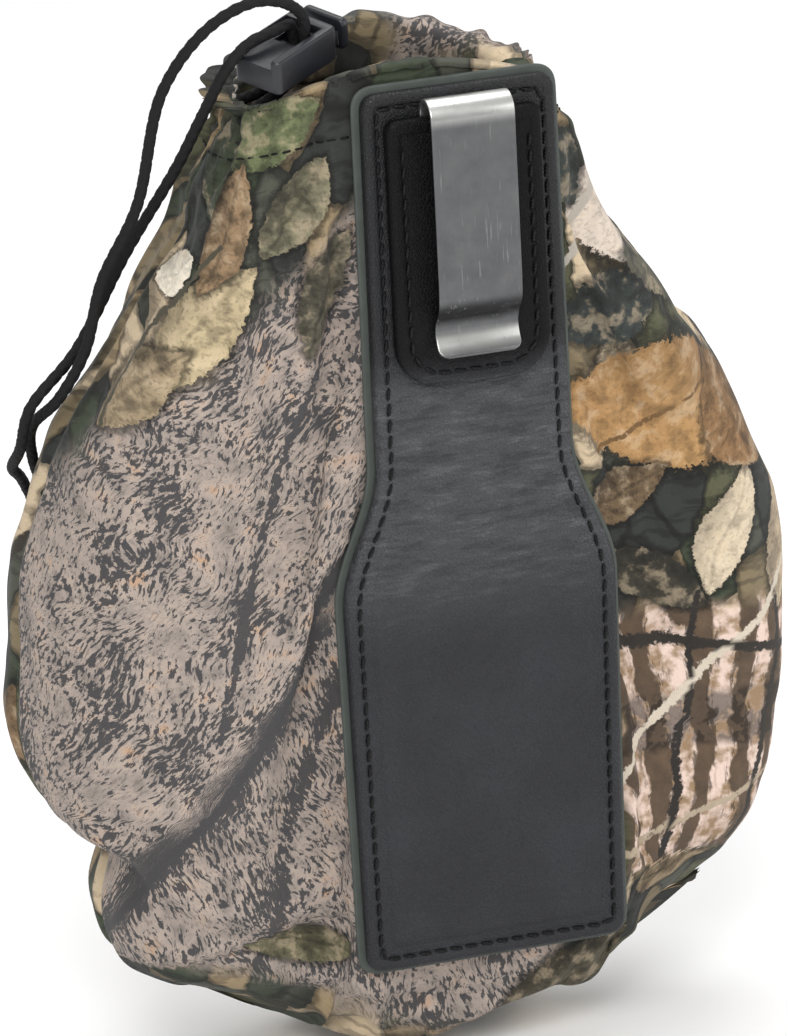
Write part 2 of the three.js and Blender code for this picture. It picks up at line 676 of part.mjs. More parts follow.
add('drawstring', drawstring(), cordBlack);
const lock = new THREE.Group();
lock.position.copy(LOCK_CENTRE);
lock.rotation.copy(lockTurn);
pouchWithCall.add(lock);
add('cord_lock_body', lockBody(), lockPlastic, lock);
add('cord_lock_button', lockButton(), lockPlastic, lock);
add('cord_lock_spring', lockSpring(), springSteel, lock);

const call = new THREE.Group();
call.position.set(CALL_X, CALL_Y, CALL_BASE);
pouchWithCall.add(call);
add('bell', bell(), callPlastic, call);
add('bell_collar', collar(39.4, 51), callPlastic, call);
add('corrugated_tube', corrugatedTube(), tubeRubber, call);
add('tube_collar', collar(134.4, 145.6), callPlastic, call);
add('barrel', barrel(), wood, call);
add('barrel_o_ring', ring(14.15, 0.95, 169.6), rubber, call);
add('mouthpiece', mouthpiece(), callPlastic, call);
add('mouthpiece_o_ring', ring(8.25, 0.75, 183), rubber, call);
add('tone_board', toneBoard(), toneWhite, call);
add('reed_wedge', halfRod(177, 185.6, -8, -0.75), rubber, call);
add('reed', reed(), mylar, call);
add('reed_band', ring(6.45, 0.6, 162), rubber, call);

export default pouchWithCall;
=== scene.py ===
import math

import bmesh
import bpy
import numpy as np
from mathutils import Matrix, Vector


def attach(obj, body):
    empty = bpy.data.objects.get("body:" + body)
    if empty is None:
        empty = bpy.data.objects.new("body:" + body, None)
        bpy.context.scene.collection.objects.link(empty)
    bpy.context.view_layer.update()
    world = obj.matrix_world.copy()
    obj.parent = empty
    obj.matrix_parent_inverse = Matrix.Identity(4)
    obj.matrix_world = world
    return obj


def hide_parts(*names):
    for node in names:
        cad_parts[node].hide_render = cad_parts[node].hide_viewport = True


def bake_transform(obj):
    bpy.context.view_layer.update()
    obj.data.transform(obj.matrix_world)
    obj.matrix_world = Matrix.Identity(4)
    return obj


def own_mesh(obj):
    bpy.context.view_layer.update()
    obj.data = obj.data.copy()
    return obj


# A camouflage drawstring pouch with a leather belt-clip panel and a grunt tube call inside.
# Shapes are drawn in millimetres from the panel's centreline and rear plane and from the
# pouch's lowest point; ORIGIN moves them to the frame's own zero, on the clip's inner face.

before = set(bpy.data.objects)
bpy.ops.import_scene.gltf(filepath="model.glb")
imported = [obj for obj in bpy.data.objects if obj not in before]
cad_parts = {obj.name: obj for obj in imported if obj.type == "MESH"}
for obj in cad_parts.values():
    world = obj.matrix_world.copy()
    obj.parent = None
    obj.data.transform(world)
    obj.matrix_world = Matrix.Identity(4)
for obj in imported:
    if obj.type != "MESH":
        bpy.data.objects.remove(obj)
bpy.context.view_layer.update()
MM = 0.001
ORIGIN = np.array([0.0, 13.7, -221.0])
CALL_AXIS = np.array([1.0, 25.0, 3.0])
LOCK_CENTRE = np.array([-36.6, 13.2, 256.4])
LOCK_LONG = np.array([0.847101, 0.489074, 0.207912])
LOCK_UP = np.array([-0.086839, -0.258582, 0.962078])
LOCK_ACROSS = np.cross(LOCK_UP, LOCK_LONG)


def in_frame(point):
    """A drawn point as metres in the frame."""
    return Vector((np.asarray(point, float) + ORIGIN) * MM)


def lock_point(x, y, z):
    """A point given along, across and up the cord lock."""
    return LOCK_CENTRE + x * LOCK_LONG + y * LOCK_ACROSS + z * LOCK_UP


# ---- curves, grids and meshes -------------------------------------------------------------

def smoothstep(lo, hi, x):
    t = np.clip((np.asarray(x, float) - lo) / (hi - lo), 0, 1)
    return t * t * (3 - 2 * t)


def spline(values, t):
    """Uniform Catmull-Rom through evenly spaced values, t from 0 to 1."""
    v = np.asarray(values, float)
    x = np.clip(t, 0, 1) * (len(v) - 1)
    i = np.minimum(x.astype(int), len(v) - 2)
    w = x - i
    p0 = v[np.maximum(i - 1, 0)]
    p1 = v[i]
    p2 = v[i + 1]
    p3 = v[np.minimum(i + 2, len(v) - 1)]
    m1 = (p2 - p0) / 2
    m2 = (p3 - p1) / 2
    return ((2 * p1 - 2 * p2 + m1 + m2) * w ** 3
            + (-3 * p1 + 3 * p2 - 2 * m1 - m2) * w ** 2 + m1 * w + p1)


def resample(points, spacing=None, count=None):
    """A polyline's points spread evenly along its length."""
    lengths = np.concatenate([[0], np.cumsum(np.linalg.norm(np.diff(points, axis=0), axis=1))])
    if count is None:
        count = max(int(round(lengths[-1] / spacing)), 2) + 1
    at = np.linspace(0, lengths[-1], count)
    return np.stack([np.interp(at, lengths, points[:, k]) for k in range(points.shape[1])], 1)


def curve_through(points, spacing):
    """Points every `spacing` mm along a smooth curve through the given points."""
    p = np.asarray(points, float)
    gaps = np.linalg.norm(np.diff(p, axis=0), axis=1)[:, None] ** 0.5
    slopes = np.diff(p, axis=0) / gaps
    inner = (slopes[:-1] * gaps[1:] + slopes[1:] * gaps[:-1]) / (gaps[1:] + gaps[:-1])
    tangents = np.vstack([slopes[:1], inner, slopes[-1:]])
    w = np.linspace(0, 1, 40, endpoint=False)[:, None]
    dense = []
    for i in range(len(p) - 1):
        dense.append((2 * w ** 3 - 3 * w ** 2 + 1) * p[i] + (-2 * w ** 3 + 3 * w ** 2) * p[i + 1]
                     + (w ** 3 - 2 * w ** 2 + w) * gaps[i] * tangents[i]
                     + (w ** 3 - w ** 2) * gaps[i] * tangents[i + 1])
    return resample(np.vstack(dense + [p[-1:]]), spacing=spacing)


def grid_faces(rows, cols, wrap_rows=False, wrap_cols=False):
    r = np.arange(rows if wrap_rows else rows - 1)
    c = np.arange(cols if wrap_cols else cols - 1)
    r, c = np.meshgrid(r, c, indexing="ij")
    r1 = (r + 1) % rows
    c1 = (c + 1) % cols
    quads = np.stack([r * cols + c, r * cols + c1, r1 * cols + c1, r1 * cols + c], -1)
    return quads.reshape(-1, 4).tolist()


def make_object(name, verts, faces, material, smooth=True):
    points = (np.asarray(verts, float) + ORIGIN) * MM
    mesh = bpy.data.meshes.new(name)
    mesh.from_pydata(points.tolist(), [], faces)
    mesh.polygons.foreach_set("use_smooth", [smooth] * len(mesh.polygons))
    mesh.update()
    obj = bpy.data.objects.new(name, mesh)
    bpy.context.scene.collection.objects.link(obj)
    obj.data.materials.append(material)
    return obj


def outward(obj):
    """Point the faces of a closed mesh outwards."""
    bm = bmesh.new()
    bm.from_mesh(obj.data)
    bmesh.ops.recalc_face_normals(bm, faces=bm.faces)
    bm.to_mesh(obj.data)
    bm.free()
    return obj


def apply_modifiers(obj):
    depsgraph = bpy.context.evaluated_depsgraph_get()
    mesh = bpy.data.meshes.new_from_object(obj.evaluated_get(depsgraph))
    obj.modifiers.clear()
    obj.data = mesh


def place(obj, body, slot, *nodes):
    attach(obj, body)
    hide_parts(*nodes)
    return obj


def transport_frames(path):
    """Two unit vectors across the path at each point, turning as little as possible."""
    tangents = np.gradient(path, axis=0)
    tangents /= np.linalg.norm(tangents, axis=1)[:, None]
    first = np.cross(tangents[0], [0.3, 0.2, 0.93])
    side = first / np.linalg.norm(first)
    sides = []
    for tangent in tangents:
        side = side - tangent * np.dot(side, tangent)
        side /= np.linalg.norm(side)
        sides.append(side)
    sides = np.array(sides)
    return sides, np.cross(tangents, sides)


def sweep(path, radius, sides_count):
    """Vertices and faces of a rod; radius is a number or an array (points, sides)."""
    across, up = transport_frames(path)
    angle = np.linspace(0, 2 * math.pi, sides_count, endpoint=False)
    r = np.broadcast_to(radius, (len(path), sides_count))[..., None]
    ring = (np.cos(angle)[None, :, None] * across[:, None, :]
            + np.sin(angle)[None, :, None] * up[:, None, :])
    verts = (path[:, None, :] + r * ring).reshape(-1, 3)
    return verts, grid_faces(len(path), sides_count, wrap_cols=True) + end_caps(len(path), sides_count)


def end_caps(rings, per_ring):
    last = (rings - 1) * per_ring
    return [list(range(per_ring))[::-1], list(range(last, last + per_ring))]


def stack_rings(rings):
    """Vertices and faces of a closed solid through matching rings of points."""
    rings = np.asarray(rings, float)
    count, per_ring = rings.shape[:2]
    faces = grid_faces(count, per_ring, wrap_cols=True) + end_caps(count, per_ring)
    return rings.reshape(-1, 3), faces


def filleted(profile, radius, steps=4):
    """A closed profile with its corners rounded."""
    p = np.asarray(profile, float)
    out = []
    for i in range(len(p)):
        before = p[i - 1] - p[i]
        after = p[(i + 1) % len(p)] - p[i]
        lengths = np.linalg.norm(before), np.linalg.norm(after)
        cut = min(radius, 0.45 * lengths[0], 0.45 * lengths[1])
        a = p[i] + before / lengths[0] * cut
        b = p[i] + after / lengths[1] * cut
        for t in np.linspace(0, 1, steps + 1):
            out.append((1 - t) ** 2 * a + 2 * t * (1 - t) * p[i] + t * t * b)
    return np.array(out)


def turned(name, profile, material, body, slot, fillet=0.4, segments=72):
    """A solid turned about the call's axis from a closed (radius, height) profile."""
    rim = filleted(profile, fillet) if fillet else np.asarray(profile, float)
    angle = np.linspace(0, 2 * math.pi, segments, endpoint=False)
    verts = np.stack([rim[None, :, 0] * np.cos(angle)[:, None], rim[None, :, 0] * np.sin(angle)[:, None],
                      np.broadcast_to(rim[None, :, 1], (segments, len(rim)))], -1)
    faces = grid_faces(segments, len(rim), wrap_rows=True, wrap_cols=True)
    obj = outward(make_object(name, verts.reshape(-1, 3) + CALL_AXIS, faces, material))
    if body:
        place(obj, body, slot, name)
    return obj


def circle_profile(major, minor, height):
    angle = np.linspace(0, 2 * math.pi, 20, endpoint=False)
    return np.stack([major + minor * np.cos(angle), height + minor * np.sin(angle)], 1)


def bevelled(node, name, material, body, slot, width=0.3):
    """A CAD node's own shape with its edges rounded over."""
    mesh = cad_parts[node].data.copy()
    bm = bmesh.new()
    bm.from_mesh(mesh)
    bmesh.ops.remove_doubles(bm, verts=bm.verts, dist=0.002 * MM)
    bmesh.ops.dissolve_limit(bm, angle_limit=math.radians(1.5), verts=bm.verts, edges=bm.edges)
    bm.to_mesh(mesh)
    bm.free()
    mesh.materials.clear()
    mesh.materials.append(material)
    obj = bpy.data.objects.new(name, mesh)
    bpy.context.scene.collection.objects.link(obj)
    bevel = obj.modifiers.new("edges", "BEVEL")
    bevel.width = width * MM
    bevel.segments = 3
    bevel.limit_method = "ANGLE"
    bevel.angle_limit = math.radians(25)
    bevel.harden_normals = True
    apply_modifiers(obj)
    obj.data.polygons.foreach_set("use_smooth", [True] * len(obj.data.polygons))
    return place(obj, body, slot, node)


def capsules(centres, along, outwards, length, radius, arch):
    """Short rounded stitches, each along one direction and bowed outwards in its middle."""
    rings, sides = 9, 8
    verts, faces = [], []
    t = np.linspace(-1, 1, rings)
    angle = np.linspace(0, 2 * math.pi, sides, endpoint=False)
    thick = radius * np.sqrt(np.clip(1 - np.abs(t) ** 4, 0.02, 1))
    for centre, direction, normal in zip(centres, along, outwards):
        side = np.cross(direction, normal)
        spine = centre + direction * (t * length / 2)[:, None] + normal * (arch * (1 - t ** 2))[:, None]
        ring = np.cos(angle)[:, None] * side + np.sin(angle)[:, None] * normal
        base = len(verts) * rings * sides
        verts.append((spine[:, None, :] + thick[:, None, None] * ring[None]).reshape(-1, 3))
        for face in grid_faces(rings, sides, wrap_cols=True) + end_caps(rings, sides):
            faces.append([base + k for k in face])
    return np.vstack(verts), faces


def stitch_line(path, pitch):
    """Centres and directions of stitches spaced evenly along a polyline."""
    spaced = resample(path, spacing=pitch)
    step = np.diff(spaced, axis=0)
    return (spaced[1:] + spaced[:-1]) / 2, step / np.linalg.norm(step, axis=1)[:, None]


# ---- material graph -----------------------------------------------------------------------

def srgb(r, g, b):
    def linear(c):
        c /= 255
        return c / 12.92 if c <= 0.04045 else ((c + 0.055) / 1.055) ** 2.4
    return (linear(r), linear(g), linear(b), 1.0)


class Graph:
    """A material whose colour, roughness and bump come from nodes."""

    def __init__(self, name):
        self.material = bpy.data.materials.new(name)
        self.material.use_nodes = True
        self.nodes = self.material.node_tree.nodes
        self.links = self.material.node_tree.links
        self.shader = self.nodes["Principled BSDF"]

    def feed(self, socket, value):
        if isinstance(value, bpy.types.NodeSocket):
            self.links.new(value, socket)
        elif value is not None:
            socket.default_value = value

    def node(self, kind, **settings):
        made = self.nodes.new(kind)
        for key, value in settings.items():
            setattr(made, key, value)
        return made

    def math(self, operation, a, b=None, c=None, clamp=False):
        made = self.node("ShaderNodeMath", operation=operation, use_clamp=clamp)
        for socket, value in zip(made.inputs, (a, b, c)):
            self.feed(socket, value)
        return made.outputs[0]

    def add(self, a, b):
        return self.math("ADD", a, b)

    def mul(self, a, b, clamp=False):
        return self.math("MULTIPLY", a, b, clamp=clamp)

    def most(self, a, b):
        return self.math("MAXIMUM", a, b)

    def step(self, value, lo, hi, low=0.0, high=1.0):
        made = self.node("ShaderNodeMapRange", interpolation_type="SMOOTHSTEP")
        for socket, given in zip(made.inputs, (value, lo, hi, low, high)):
            self.feed(socket, given)
        return made.outputs[0]

    def mix(self, factor, a, b):
        made = self.node("ShaderNodeMix", data_type="RGBA")
        self.feed(made.inputs[0], factor)
        self.feed(made.inputs[6], a)
        self.feed(made.inputs[7], b)
        return made.outputs[2]

    def mix_vectors(self, factor, a, b):
        made = self.node("ShaderNodeMix", data_type="VECTOR")
        self.feed(made.inputs[0], factor)
        self.feed(made.inputs[4], a)
        self.feed(made.inputs[5], b)
        return made.outputs[1]

    def shade(self, factor, colour, amount):
        """Multiply a colour towards black by factor times amount."""
        value = self.math("MULTIPLY_ADD", factor, -amount, 1.0)
        made = self.node("ShaderNodeMix", data_type="RGBA", blend_type="MULTIPLY")
        self.feed(made.inputs[0], 1.0)
        self.feed(made.inputs[6], colour)
        grey = self.node("ShaderNodeCombineColor")
        for socket in grey.inputs:
            self.feed(socket, value)
        self.feed(made.inputs[7], grey.outputs[0])
        return made.outputs[2]

    def ramp(self, factor, stops, constant=False):
        made = self.node("ShaderNodeValToRGB")
        if constant:
            made.color_ramp.interpolation = "CONSTANT"
        elements = made.color_ramp.elements
        while len(elements) < len(stops):
            elements.new(0.5)
        for element, (position, colour) in zip(elements, stops):
            element.position = position
            element.color = colour
        self.feed(made.inputs[0], factor)
        return made.outputs[0]

    def attribute(self, name, output="Fac"):
        return self.node("ShaderNodeAttribute", attribute_name=name).outputs[output]

    def object_mm(self):
        """Object coordinates in millimetres."""
        coords = self.node("ShaderNodeTexCoord")
        scaled = self.node("ShaderNodeVectorMath", operation="SCALE")
        self.feed(scaled.inputs[0], coords.outputs["Object"])
        scaled.inputs["Scale"].default_value = 1 / MM
        return scaled.outputs[0]

    def mapped(self, vector, scale=(1, 1, 1), turn=0.0, shift=(0, 0, 0)):
        made = self.node("ShaderNodeMapping")
        self.feed(made.inputs["Vector"], vector)
        made.inputs["Scale"].default_value = scale
        made.inputs["Rotation"].default_value = (0, 0, turn)
        made.inputs["Location"].default_value = shift
        return made.outputs[0]

    def noise(self, vector, size, detail=2.0, rough=0.5, distortion=0.0, colour=False):
        made = self.node("ShaderNodeTexNoise")
        self.feed(made.inputs["Vector"], vector)
        made.inputs["Scale"].default_value = 1 / size
        made.inputs["Detail"].default_value = detail
        made.inputs["Roughness"].default_value = rough
        made.inputs["Distortion"].default_value = distortion
        return made.outputs["Color" if colour else "Fac"]

    def voronoi(self, vector, size, feature="F1", output="Distance", random=1.0):
        made = self.node("ShaderNodeTexVoronoi", feature=feature)
        self.feed(made.inputs["Vector"], vector)
        made.inputs["Scale"].default_value = 1 / size
        made.inputs["Randomness"].default_value = random
        return made.outputs[output]

    def split(self, vector):
        made = self.node("ShaderNodeSeparateXYZ")
        self.feed(made.inputs[0], vector)
        return made.outputs[0], made.outputs[1], made.outputs[2]

    def join(self, x, y, z=0.0):
        made = self.node("ShaderNodeCombineXYZ")
        for socket, value in zip(made.inputs, (x, y, z)):
            self.feed(socket, value)
        return made.outputs[0]

    def bump(self, height, distance_mm, strength=1.0, after=None):
        made = self.node("ShaderNodeBump")
        made.inputs["Strength"].default_value = strength
        made.inputs["Distance"].default_value = distance_mm * MM
        self.feed(made.inputs["Height"], height)
        if after is not None:
            self.feed(made.inputs["Normal"], after)
        return made.outputs[0]

    def finish(self, colour, roughness, metallic=0.0, normal=None, **more):
        self.feed(self.shader.inputs["Base Color"], colour)
        self.feed(self.shader.inputs["Roughness"], roughness)
        self.feed(self.shader.inputs["Metallic"], metallic)
        if normal is not None:
            self.feed(self.shader.inputs["Normal"], normal)
        for key, value in more.items():
            self.feed(self.shader.inputs[key.replace("_", " ")], value)
        return self.material




# ---- the camouflage print -----------------------------------------------------------------

LEAVES = [
    # centre, angle, half length, half width, curve, colour, how dark its veins are, layer
    ((-68, 196), 48, 21, 8, 0.35, (196, 178, 142), 0.5, 0),
    ((-58, 217), 62, 17, 6, -0.3, (150, 124, 94), 0.6, 1),
    ((-46, 240), 35, 15, 8, 0.2, (104, 112, 78), 0.5, 0),
    ((-62, 232), 75, 13, 6, 0.3, (60, 68, 52), 0.5, 2),
    ((-40, 221), 50, 15, 6, -0.25, (126, 121, 98), 0.6, 1),
    ((-84, 181), 40, 16, 7, 0.2, (158, 140, 112), 0.6, 1),
    ((-36, 201), 63, 17, 6, 0.3, (98, 94, 78), 0.6, 0),
    ((-77, 206), 28, 10, 4.5, -0.3, (236, 226, 208), 0.3, 2),
    ((44, 207), -52, 17, 8, 0.2, (214, 200, 186), 0.35, 0),
    ((31, 222), -70, 13, 6, -0.3, (62, 68, 64), 0.5, 1),
    ((62, 189), -35, 18, 7, 0.3, (86, 84, 70), 0.6, 2),
    ((40, 186), 12, 17, 9, 0.2, (50, 56, 54), 0.5, 1),
    ((54, 161), -14, 32, 15, 0.3, (178, 138, 90), 0.35, 0),
    ((77, 152), -58, 18, 9, -0.3, (140, 106, 70), 0.5, 1),
    ((43, 138), 24, 17, 7, -0.2, (112, 92, 68), 0.6, 2),
    ((71, 127), 66, 17, 7, 0.3, (216, 199, 172), 0.35, 0),
    ((92, 120), 78, 18, 8, -0.2, (198, 178, 150), 0.4, 1),
    ((52, 117), -24, 17, 7, 0.25, (60, 57, 48), 0.5, 1),
    ((106, 152), -60, 20, 9, 0.2, (98, 92, 74), 0.6, 0),
    ((-58, 28), -10, 21, 7, -0.3, (104, 100, 76), 0.6, 1),
    ((20, 11), 15, 24, 8, 0.3, (86, 80, 64), 0.6, 0),
    ((62, 20), -18, 21, 8, -0.2, (118, 100, 74), 0.6, 1),
    ((140, 190), 30, 24, 9, 0.3, (170, 150, 116), 0.5, 0),
    ((150, 120), -50, 24, 10, -0.3, (110, 112, 84), 0.5, 1),
    ((168, 160), 80, 20, 8, 0.3, (208, 192, 164), 0.4, 2),
    ((150, 70), 20, 24, 9, 0.3, (134, 108, 78), 0.5, 0),
]
TWIGS = [
    # start, end, half width, bow, colour
    ((34, 62), (112, 128), 1.1, 3, (206, 194, 176)),
    ((26, 196), (72, 236), 1.0, 4, (176, 168, 156)),
    ((40, 100), (96, 92), 1.5, 2, (44, 40, 36)), ((-94, 170), (-60, 214), 0.7, 4, (74, 70, 58)),
    ((56, 40), (64, 112), 1.2, 1, (40, 36, 34)), ((80, 44), (86, 110), 1.1, -1, (46, 42, 38)),
    ((36, 150), (84, 168), 0.6, 2, (112, 84, 52)), ((-20, 156), (-116, 40), 1.7, 8, (66, 65, 67)),
    ((24, 44), (100, 66), 1.0, -3, (176, 160, 138)), ((120, 40), (180, 210), 1.5, 6, (52, 46, 40)),
]
LIMBS = [((-122, 38), (-18, 152), 3.0, -8), ((-72, 96), (-28, 200), 0.8, 5), ((-66, 20), (-30, 112), 1.6, 5)]
LEAF_LAYERS = 3


def leaf_field(x, y, leaf):
    """How far inside a leaf each point is (positive inside), and its place along and across."""
    centre, angle, half_length, half_width, curve = leaf[:5]
    cos, sin = math.cos(math.radians(angle)), math.sin(math.radians(angle))
    along = ((x - centre[0]) * cos + (y - centre[1]) * sin) / half_length
    across = (-(x - centre[0]) * sin + (y - centre[1]) * cos) / half_width + curve * along ** 2
    return 1 - along ** 2 - np.abs(across), along, across


def linear_colour(rgb):
    return np.array(srgb(*rgb)[:3])


def print_on(mesh, x, y):
    """Store the print's leaves and twigs as point values for the cloth material."""
    for layer in range(LEAF_LAYERS):
        best = np.full(x.shape, -1.5)
        place_in = np.zeros(x.shape + (3,))
        tint = np.zeros(x.shape + (3,))
        for leaf in (entry for entry in LEAVES if entry[7] == layer):
            inside, along, across = leaf_field(x, y, leaf)
            nearer = inside > best
            best = np.where(nearer, inside, best)
            dark = np.full(x.shape, leaf[6])
            place_in = np.where(nearer[..., None], np.stack([along, across, dark], -1), place_in)
            tint = np.where(nearer[..., None], linear_colour(leaf[5]), tint)
        store(mesh, f"leaf_inside_{layer}", best)
        store(mesh, f"leaf_place_{layer}", place_in)
        store(mesh, f"leaf_tint_{layer}", tint)
    nearest = np.full(x.shape, 4.0)
    tint = np.zeros(x.shape + (3,))
    for start, end, half, bow, rgb in TWIGS:
        ratio = stroke_distance(x, y, start, end, half, bow)
        closer = ratio < nearest
        nearest = np.where(closer, ratio, nearest)
        tint = np.where(closer[..., None], linear_colour(rgb), tint)
    store(mesh, "twig_distance", nearest)
    store(mesh, "twig_tint", tint)
    store(mesh, "limb_distance", np.min([stroke_distance(x, y, *limb) for limb in LIMBS], axis=0))


def stroke_distance(x, y, start, end, half, bow):
    """Distance from a tapering bowed stroke, in units of its half width, at most 4."""
    dx, dy = end[0] - start[0], end[1] - start[1]
    length = math.hypot(dx, dy)
    along = ((x - start[0]) * dx + (y - start[1]) * dy) / length ** 2
    off = (-(x - start[0]) * dy + (y - start[1]) * dx) / length - 4 * bow * along * (1 - along)
    beyond = np.maximum(np.abs(along - 0.5) - 0.5, 0) * length
    taper = half * (1.15 - 0.5 * np.clip(along, 0, 1))
    return np.minimum(np.hypot(off, beyond) / taper, 4.0)


def store(mesh, name, values):
    values = np.asarray(values, np.float32)
    if values.shape[-1] == 3 and values.ndim > 2:
        attribute = mesh.attributes.new(name, "FLOAT_VECTOR", "POINT")
        attribute.data.foreach_set("vector", values.reshape(-1))
    else:
        attribute = mesh.attributes.new(name, "FLOAT", "POINT")
        attribute.data.foreach_set("value", values.reshape(-1))


def camouflage():
    """Printed brushed cotton: bark with dark flecks, leaf litter, twigs and pale trunks."""
    g = Graph("camouflage_cloth")
    coords = g.node("ShaderNodeUVMap", uv_map="flat")
    scaled = g.node("ShaderNodeVectorMath", operation="SCALE")
    g.feed(scaled.inputs[0], coords.outputs[0])
    scaled.inputs["Scale"].default_value = 100.0
    flat = scaled.outputs[0]
    wobble = g.node("ShaderNodeVectorMath", operation="MULTIPLY_ADD")
    g.feed(wobble.inputs[0], g.noise(flat, 14, 3, 0.6, colour=True))
    wobble.inputs[1].default_value = (9, 9, 0)
    g.feed(wobble.inputs[2], flat)
    ragged = wobble.outputs[0]
    x, y, _ = g.split(flat)
    rx, ry, _ = g.split(ragged)
    speckle = g.noise(flat, 1.6, 3, 0.65)
    blotch = g.noise(flat, 6, 3, 0.6)

    # Bark: mottled pinkish grey with dark flecks along the grain.
    colour = g.ramp(g.noise(flat, 7, 4, 0.6), [
        (0.3, srgb(132, 123, 116)), (0.48, srgb(162, 149, 140)), (0.6, srgb(176, 160, 148)),
        (0.72, srgb(186, 152, 124))])
    beside_limb = g.step(g.math("MULTIPLY_ADD", rx, -1.06, ry), 157, 166)
    waved = g.node("ShaderNodeVectorMath", operation="MULTIPLY_ADD")
    g.feed(waved.inputs[0], g.noise(flat, 24, 2, 0.5, colour=True))
    waved.inputs[1].default_value = (14, 14, 0)
    g.feed(waved.inputs[2], flat)
    grain = waved.outputs[0]
    streak = g.mix_vectors(beside_limb, g.mapped(g.mapped(grain, turn=math.radians(-112)), scale=(0.42, 1, 1)),
                           g.mapped(g.mapped(grain, turn=math.radians(-50)), scale=(0.46, 1, 1)))
    fine = g.step(g.noise(g.mapped(streak, shift=(40, 7, 0)), 0.9, 3, 0.65), 0.54, 0.6)
    colour = g.mix(g.mul(fine, 0.5), colour, srgb(100, 93, 89))
    limb = g.step(g.math("MULTIPLY_ADD", speckle, 2.0, g.attribute("limb_distance")), 3.4, 1.6)
    limit = g.math("MULTIPLY_ADD", g.noise(flat, 15, 3), -0.5, 0.755)
    limit = g.math("MULTIPLY_ADD", limb, -0.13, limit)
    coarse = g.step(g.noise(streak, 1.05, 4, 0.6, 0.2), limit, g.add(limit, 0.05))
    colour = g.mix(g.mul(coarse, 0.94), colour, srgb(58, 58, 61))

    # Leaf litter: cells of dull greens, greys and tans.
    litter_coords = g.mapped(ragged, scale=(1, 0.6, 1), turn=math.radians(35))
    pick = g.node("ShaderNodeSeparateColor")
    g.feed(pick.inputs[0], g.voronoi(litter_coords, 12, output="Color"))
    litter = g.ramp(pick.outputs[0], [
        (0.0, srgb(48, 51, 48)), (0.2, srgb(84, 84, 62)), (0.36, srgb(126, 112, 86)),
        (0.5, srgb(58, 66, 50)), (0.62, srgb(158, 138, 106)), (0.76, srgb(74, 76, 66)),
        (0.88, srgb(204, 184, 154))], constant=True)
    rim = g.voronoi(litter_coords, 12, feature="DISTANCE_TO_EDGE")
    litter = g.shade(g.step(rim, 0.09, 0.02), litter, 0.62)
    vein = g.noise(g.mapped(ragged, scale=(0.2, 1, 1), turn=math.radians(20)), 2.4, 3)
    litter = g.shade(g.step(vein, 0.5, 0.6), litter, 0.4)
    upper_left = g.step(g.math("MULTIPLY_ADD", rx, -0.72, ry), 232, 244)
    right_side = g.step(rx, 18, 26)
    lower_edge = g.step(g.math("MULTIPLY_ADD", rx, 0.2, ry), 14, 2)
    colour = g.mix(g.most(g.most(upper_left, right_side), lower_edge), colour, litter)

    # Pale trunks with dark bark marks at the lower right.
    lean = g.math("MULTIPLY_ADD", ry, 0.1, g.math("MULTIPLY_ADD", g.noise(flat, 30, 2), 22, rx))
    bands = g.math("SINE", g.mul(lean, 0.56))
    marks = g.step(g.noise(g.mapped(flat, scale=(1, 0.28, 1)), 2.4, 4, 0.7), 0.5, 0.55)
    trunk = g.mix(g.step(blotch, 0.38, 0.6), srgb(150, 124, 96), srgb(226, 202, 188))
    trunk = g.shade(g.mul(marks, g.step(bands, 0.95, 0.2)), trunk, 0.7)
    gap = g.mix(blotch, srgb(44, 38, 32), srgb(116, 94, 74))
    trunk = g.mix(g.step(bands, -0.35, 0.1), gap, trunk)
    band = g.mul(g.step(g.math("ABSOLUTE", g.add(ry, -82)), 9, 6), g.step(blotch, 0.42, 0.52))
    trunk = g.shade(band, trunk, 0.7)
    area = g.mul(g.mul(g.step(rx, 38, 43), g.step(rx, 124, 116)),
                 g.mul(g.step(ry, 116, 110), g.step(ry, 36, 44)))
    colour = g.mix(area, colour, trunk)

    # Leaves, each layer over the one before, with a shadow, a rib and side veins.
    for layer in range(LEAF_LAYERS):
        inside = g.attribute(f"leaf_inside_{layer}")
        inside = g.add(inside, g.math("MULTIPLY_ADD", speckle, 0.5, -0.25))
        along, across, dark = g.split(g.attribute(f"leaf_place_{layer}", "Vector"))
        tint = g.attribute(f"leaf_tint_{layer}", "Vector")
        colour = g.shade(g.step(inside, -0.34, 0.0), colour, 0.72)
        spread = g.math("ABSOLUTE", across)
        side = g.math("SINE", g.math("MULTIPLY_ADD", spread, -7.0, g.mul(along, 15.0)))
        tint = g.shade(g.mul(g.step(side, 0.1, 0.9), dark), tint, 0.25)
        tint = g.shade(g.mul(g.step(spread, 0.12, 0.02), dark), tint, 0.6)
        tint = g.shade(g.mul(g.step(across, -0.1, 0.7), dark), tint, 0.9)
        tint = g.mix(g.mul(g.step(blotch, 0.5, 0.36), 0.28), tint, srgb(222, 200, 168))
        tint = g.shade(g.mul(g.step(blotch, 0.5, 0.64), dark), tint, 0.85)
        tint = g.shade(g.mul(g.step(speckle, 0.52, 0.6), dark), tint, 0.5)
        colour = g.mix(g.step(inside, 0.0, 0.06), colour, tint)

    # Twigs lie on top.
    distance = g.math("MULTIPLY_ADD", speckle, 2.6, g.attribute("twig_distance"))
    colour = g.mix(g.step(distance, 2.6, 2.1), colour, g.attribute("twig_tint", "Vector"))

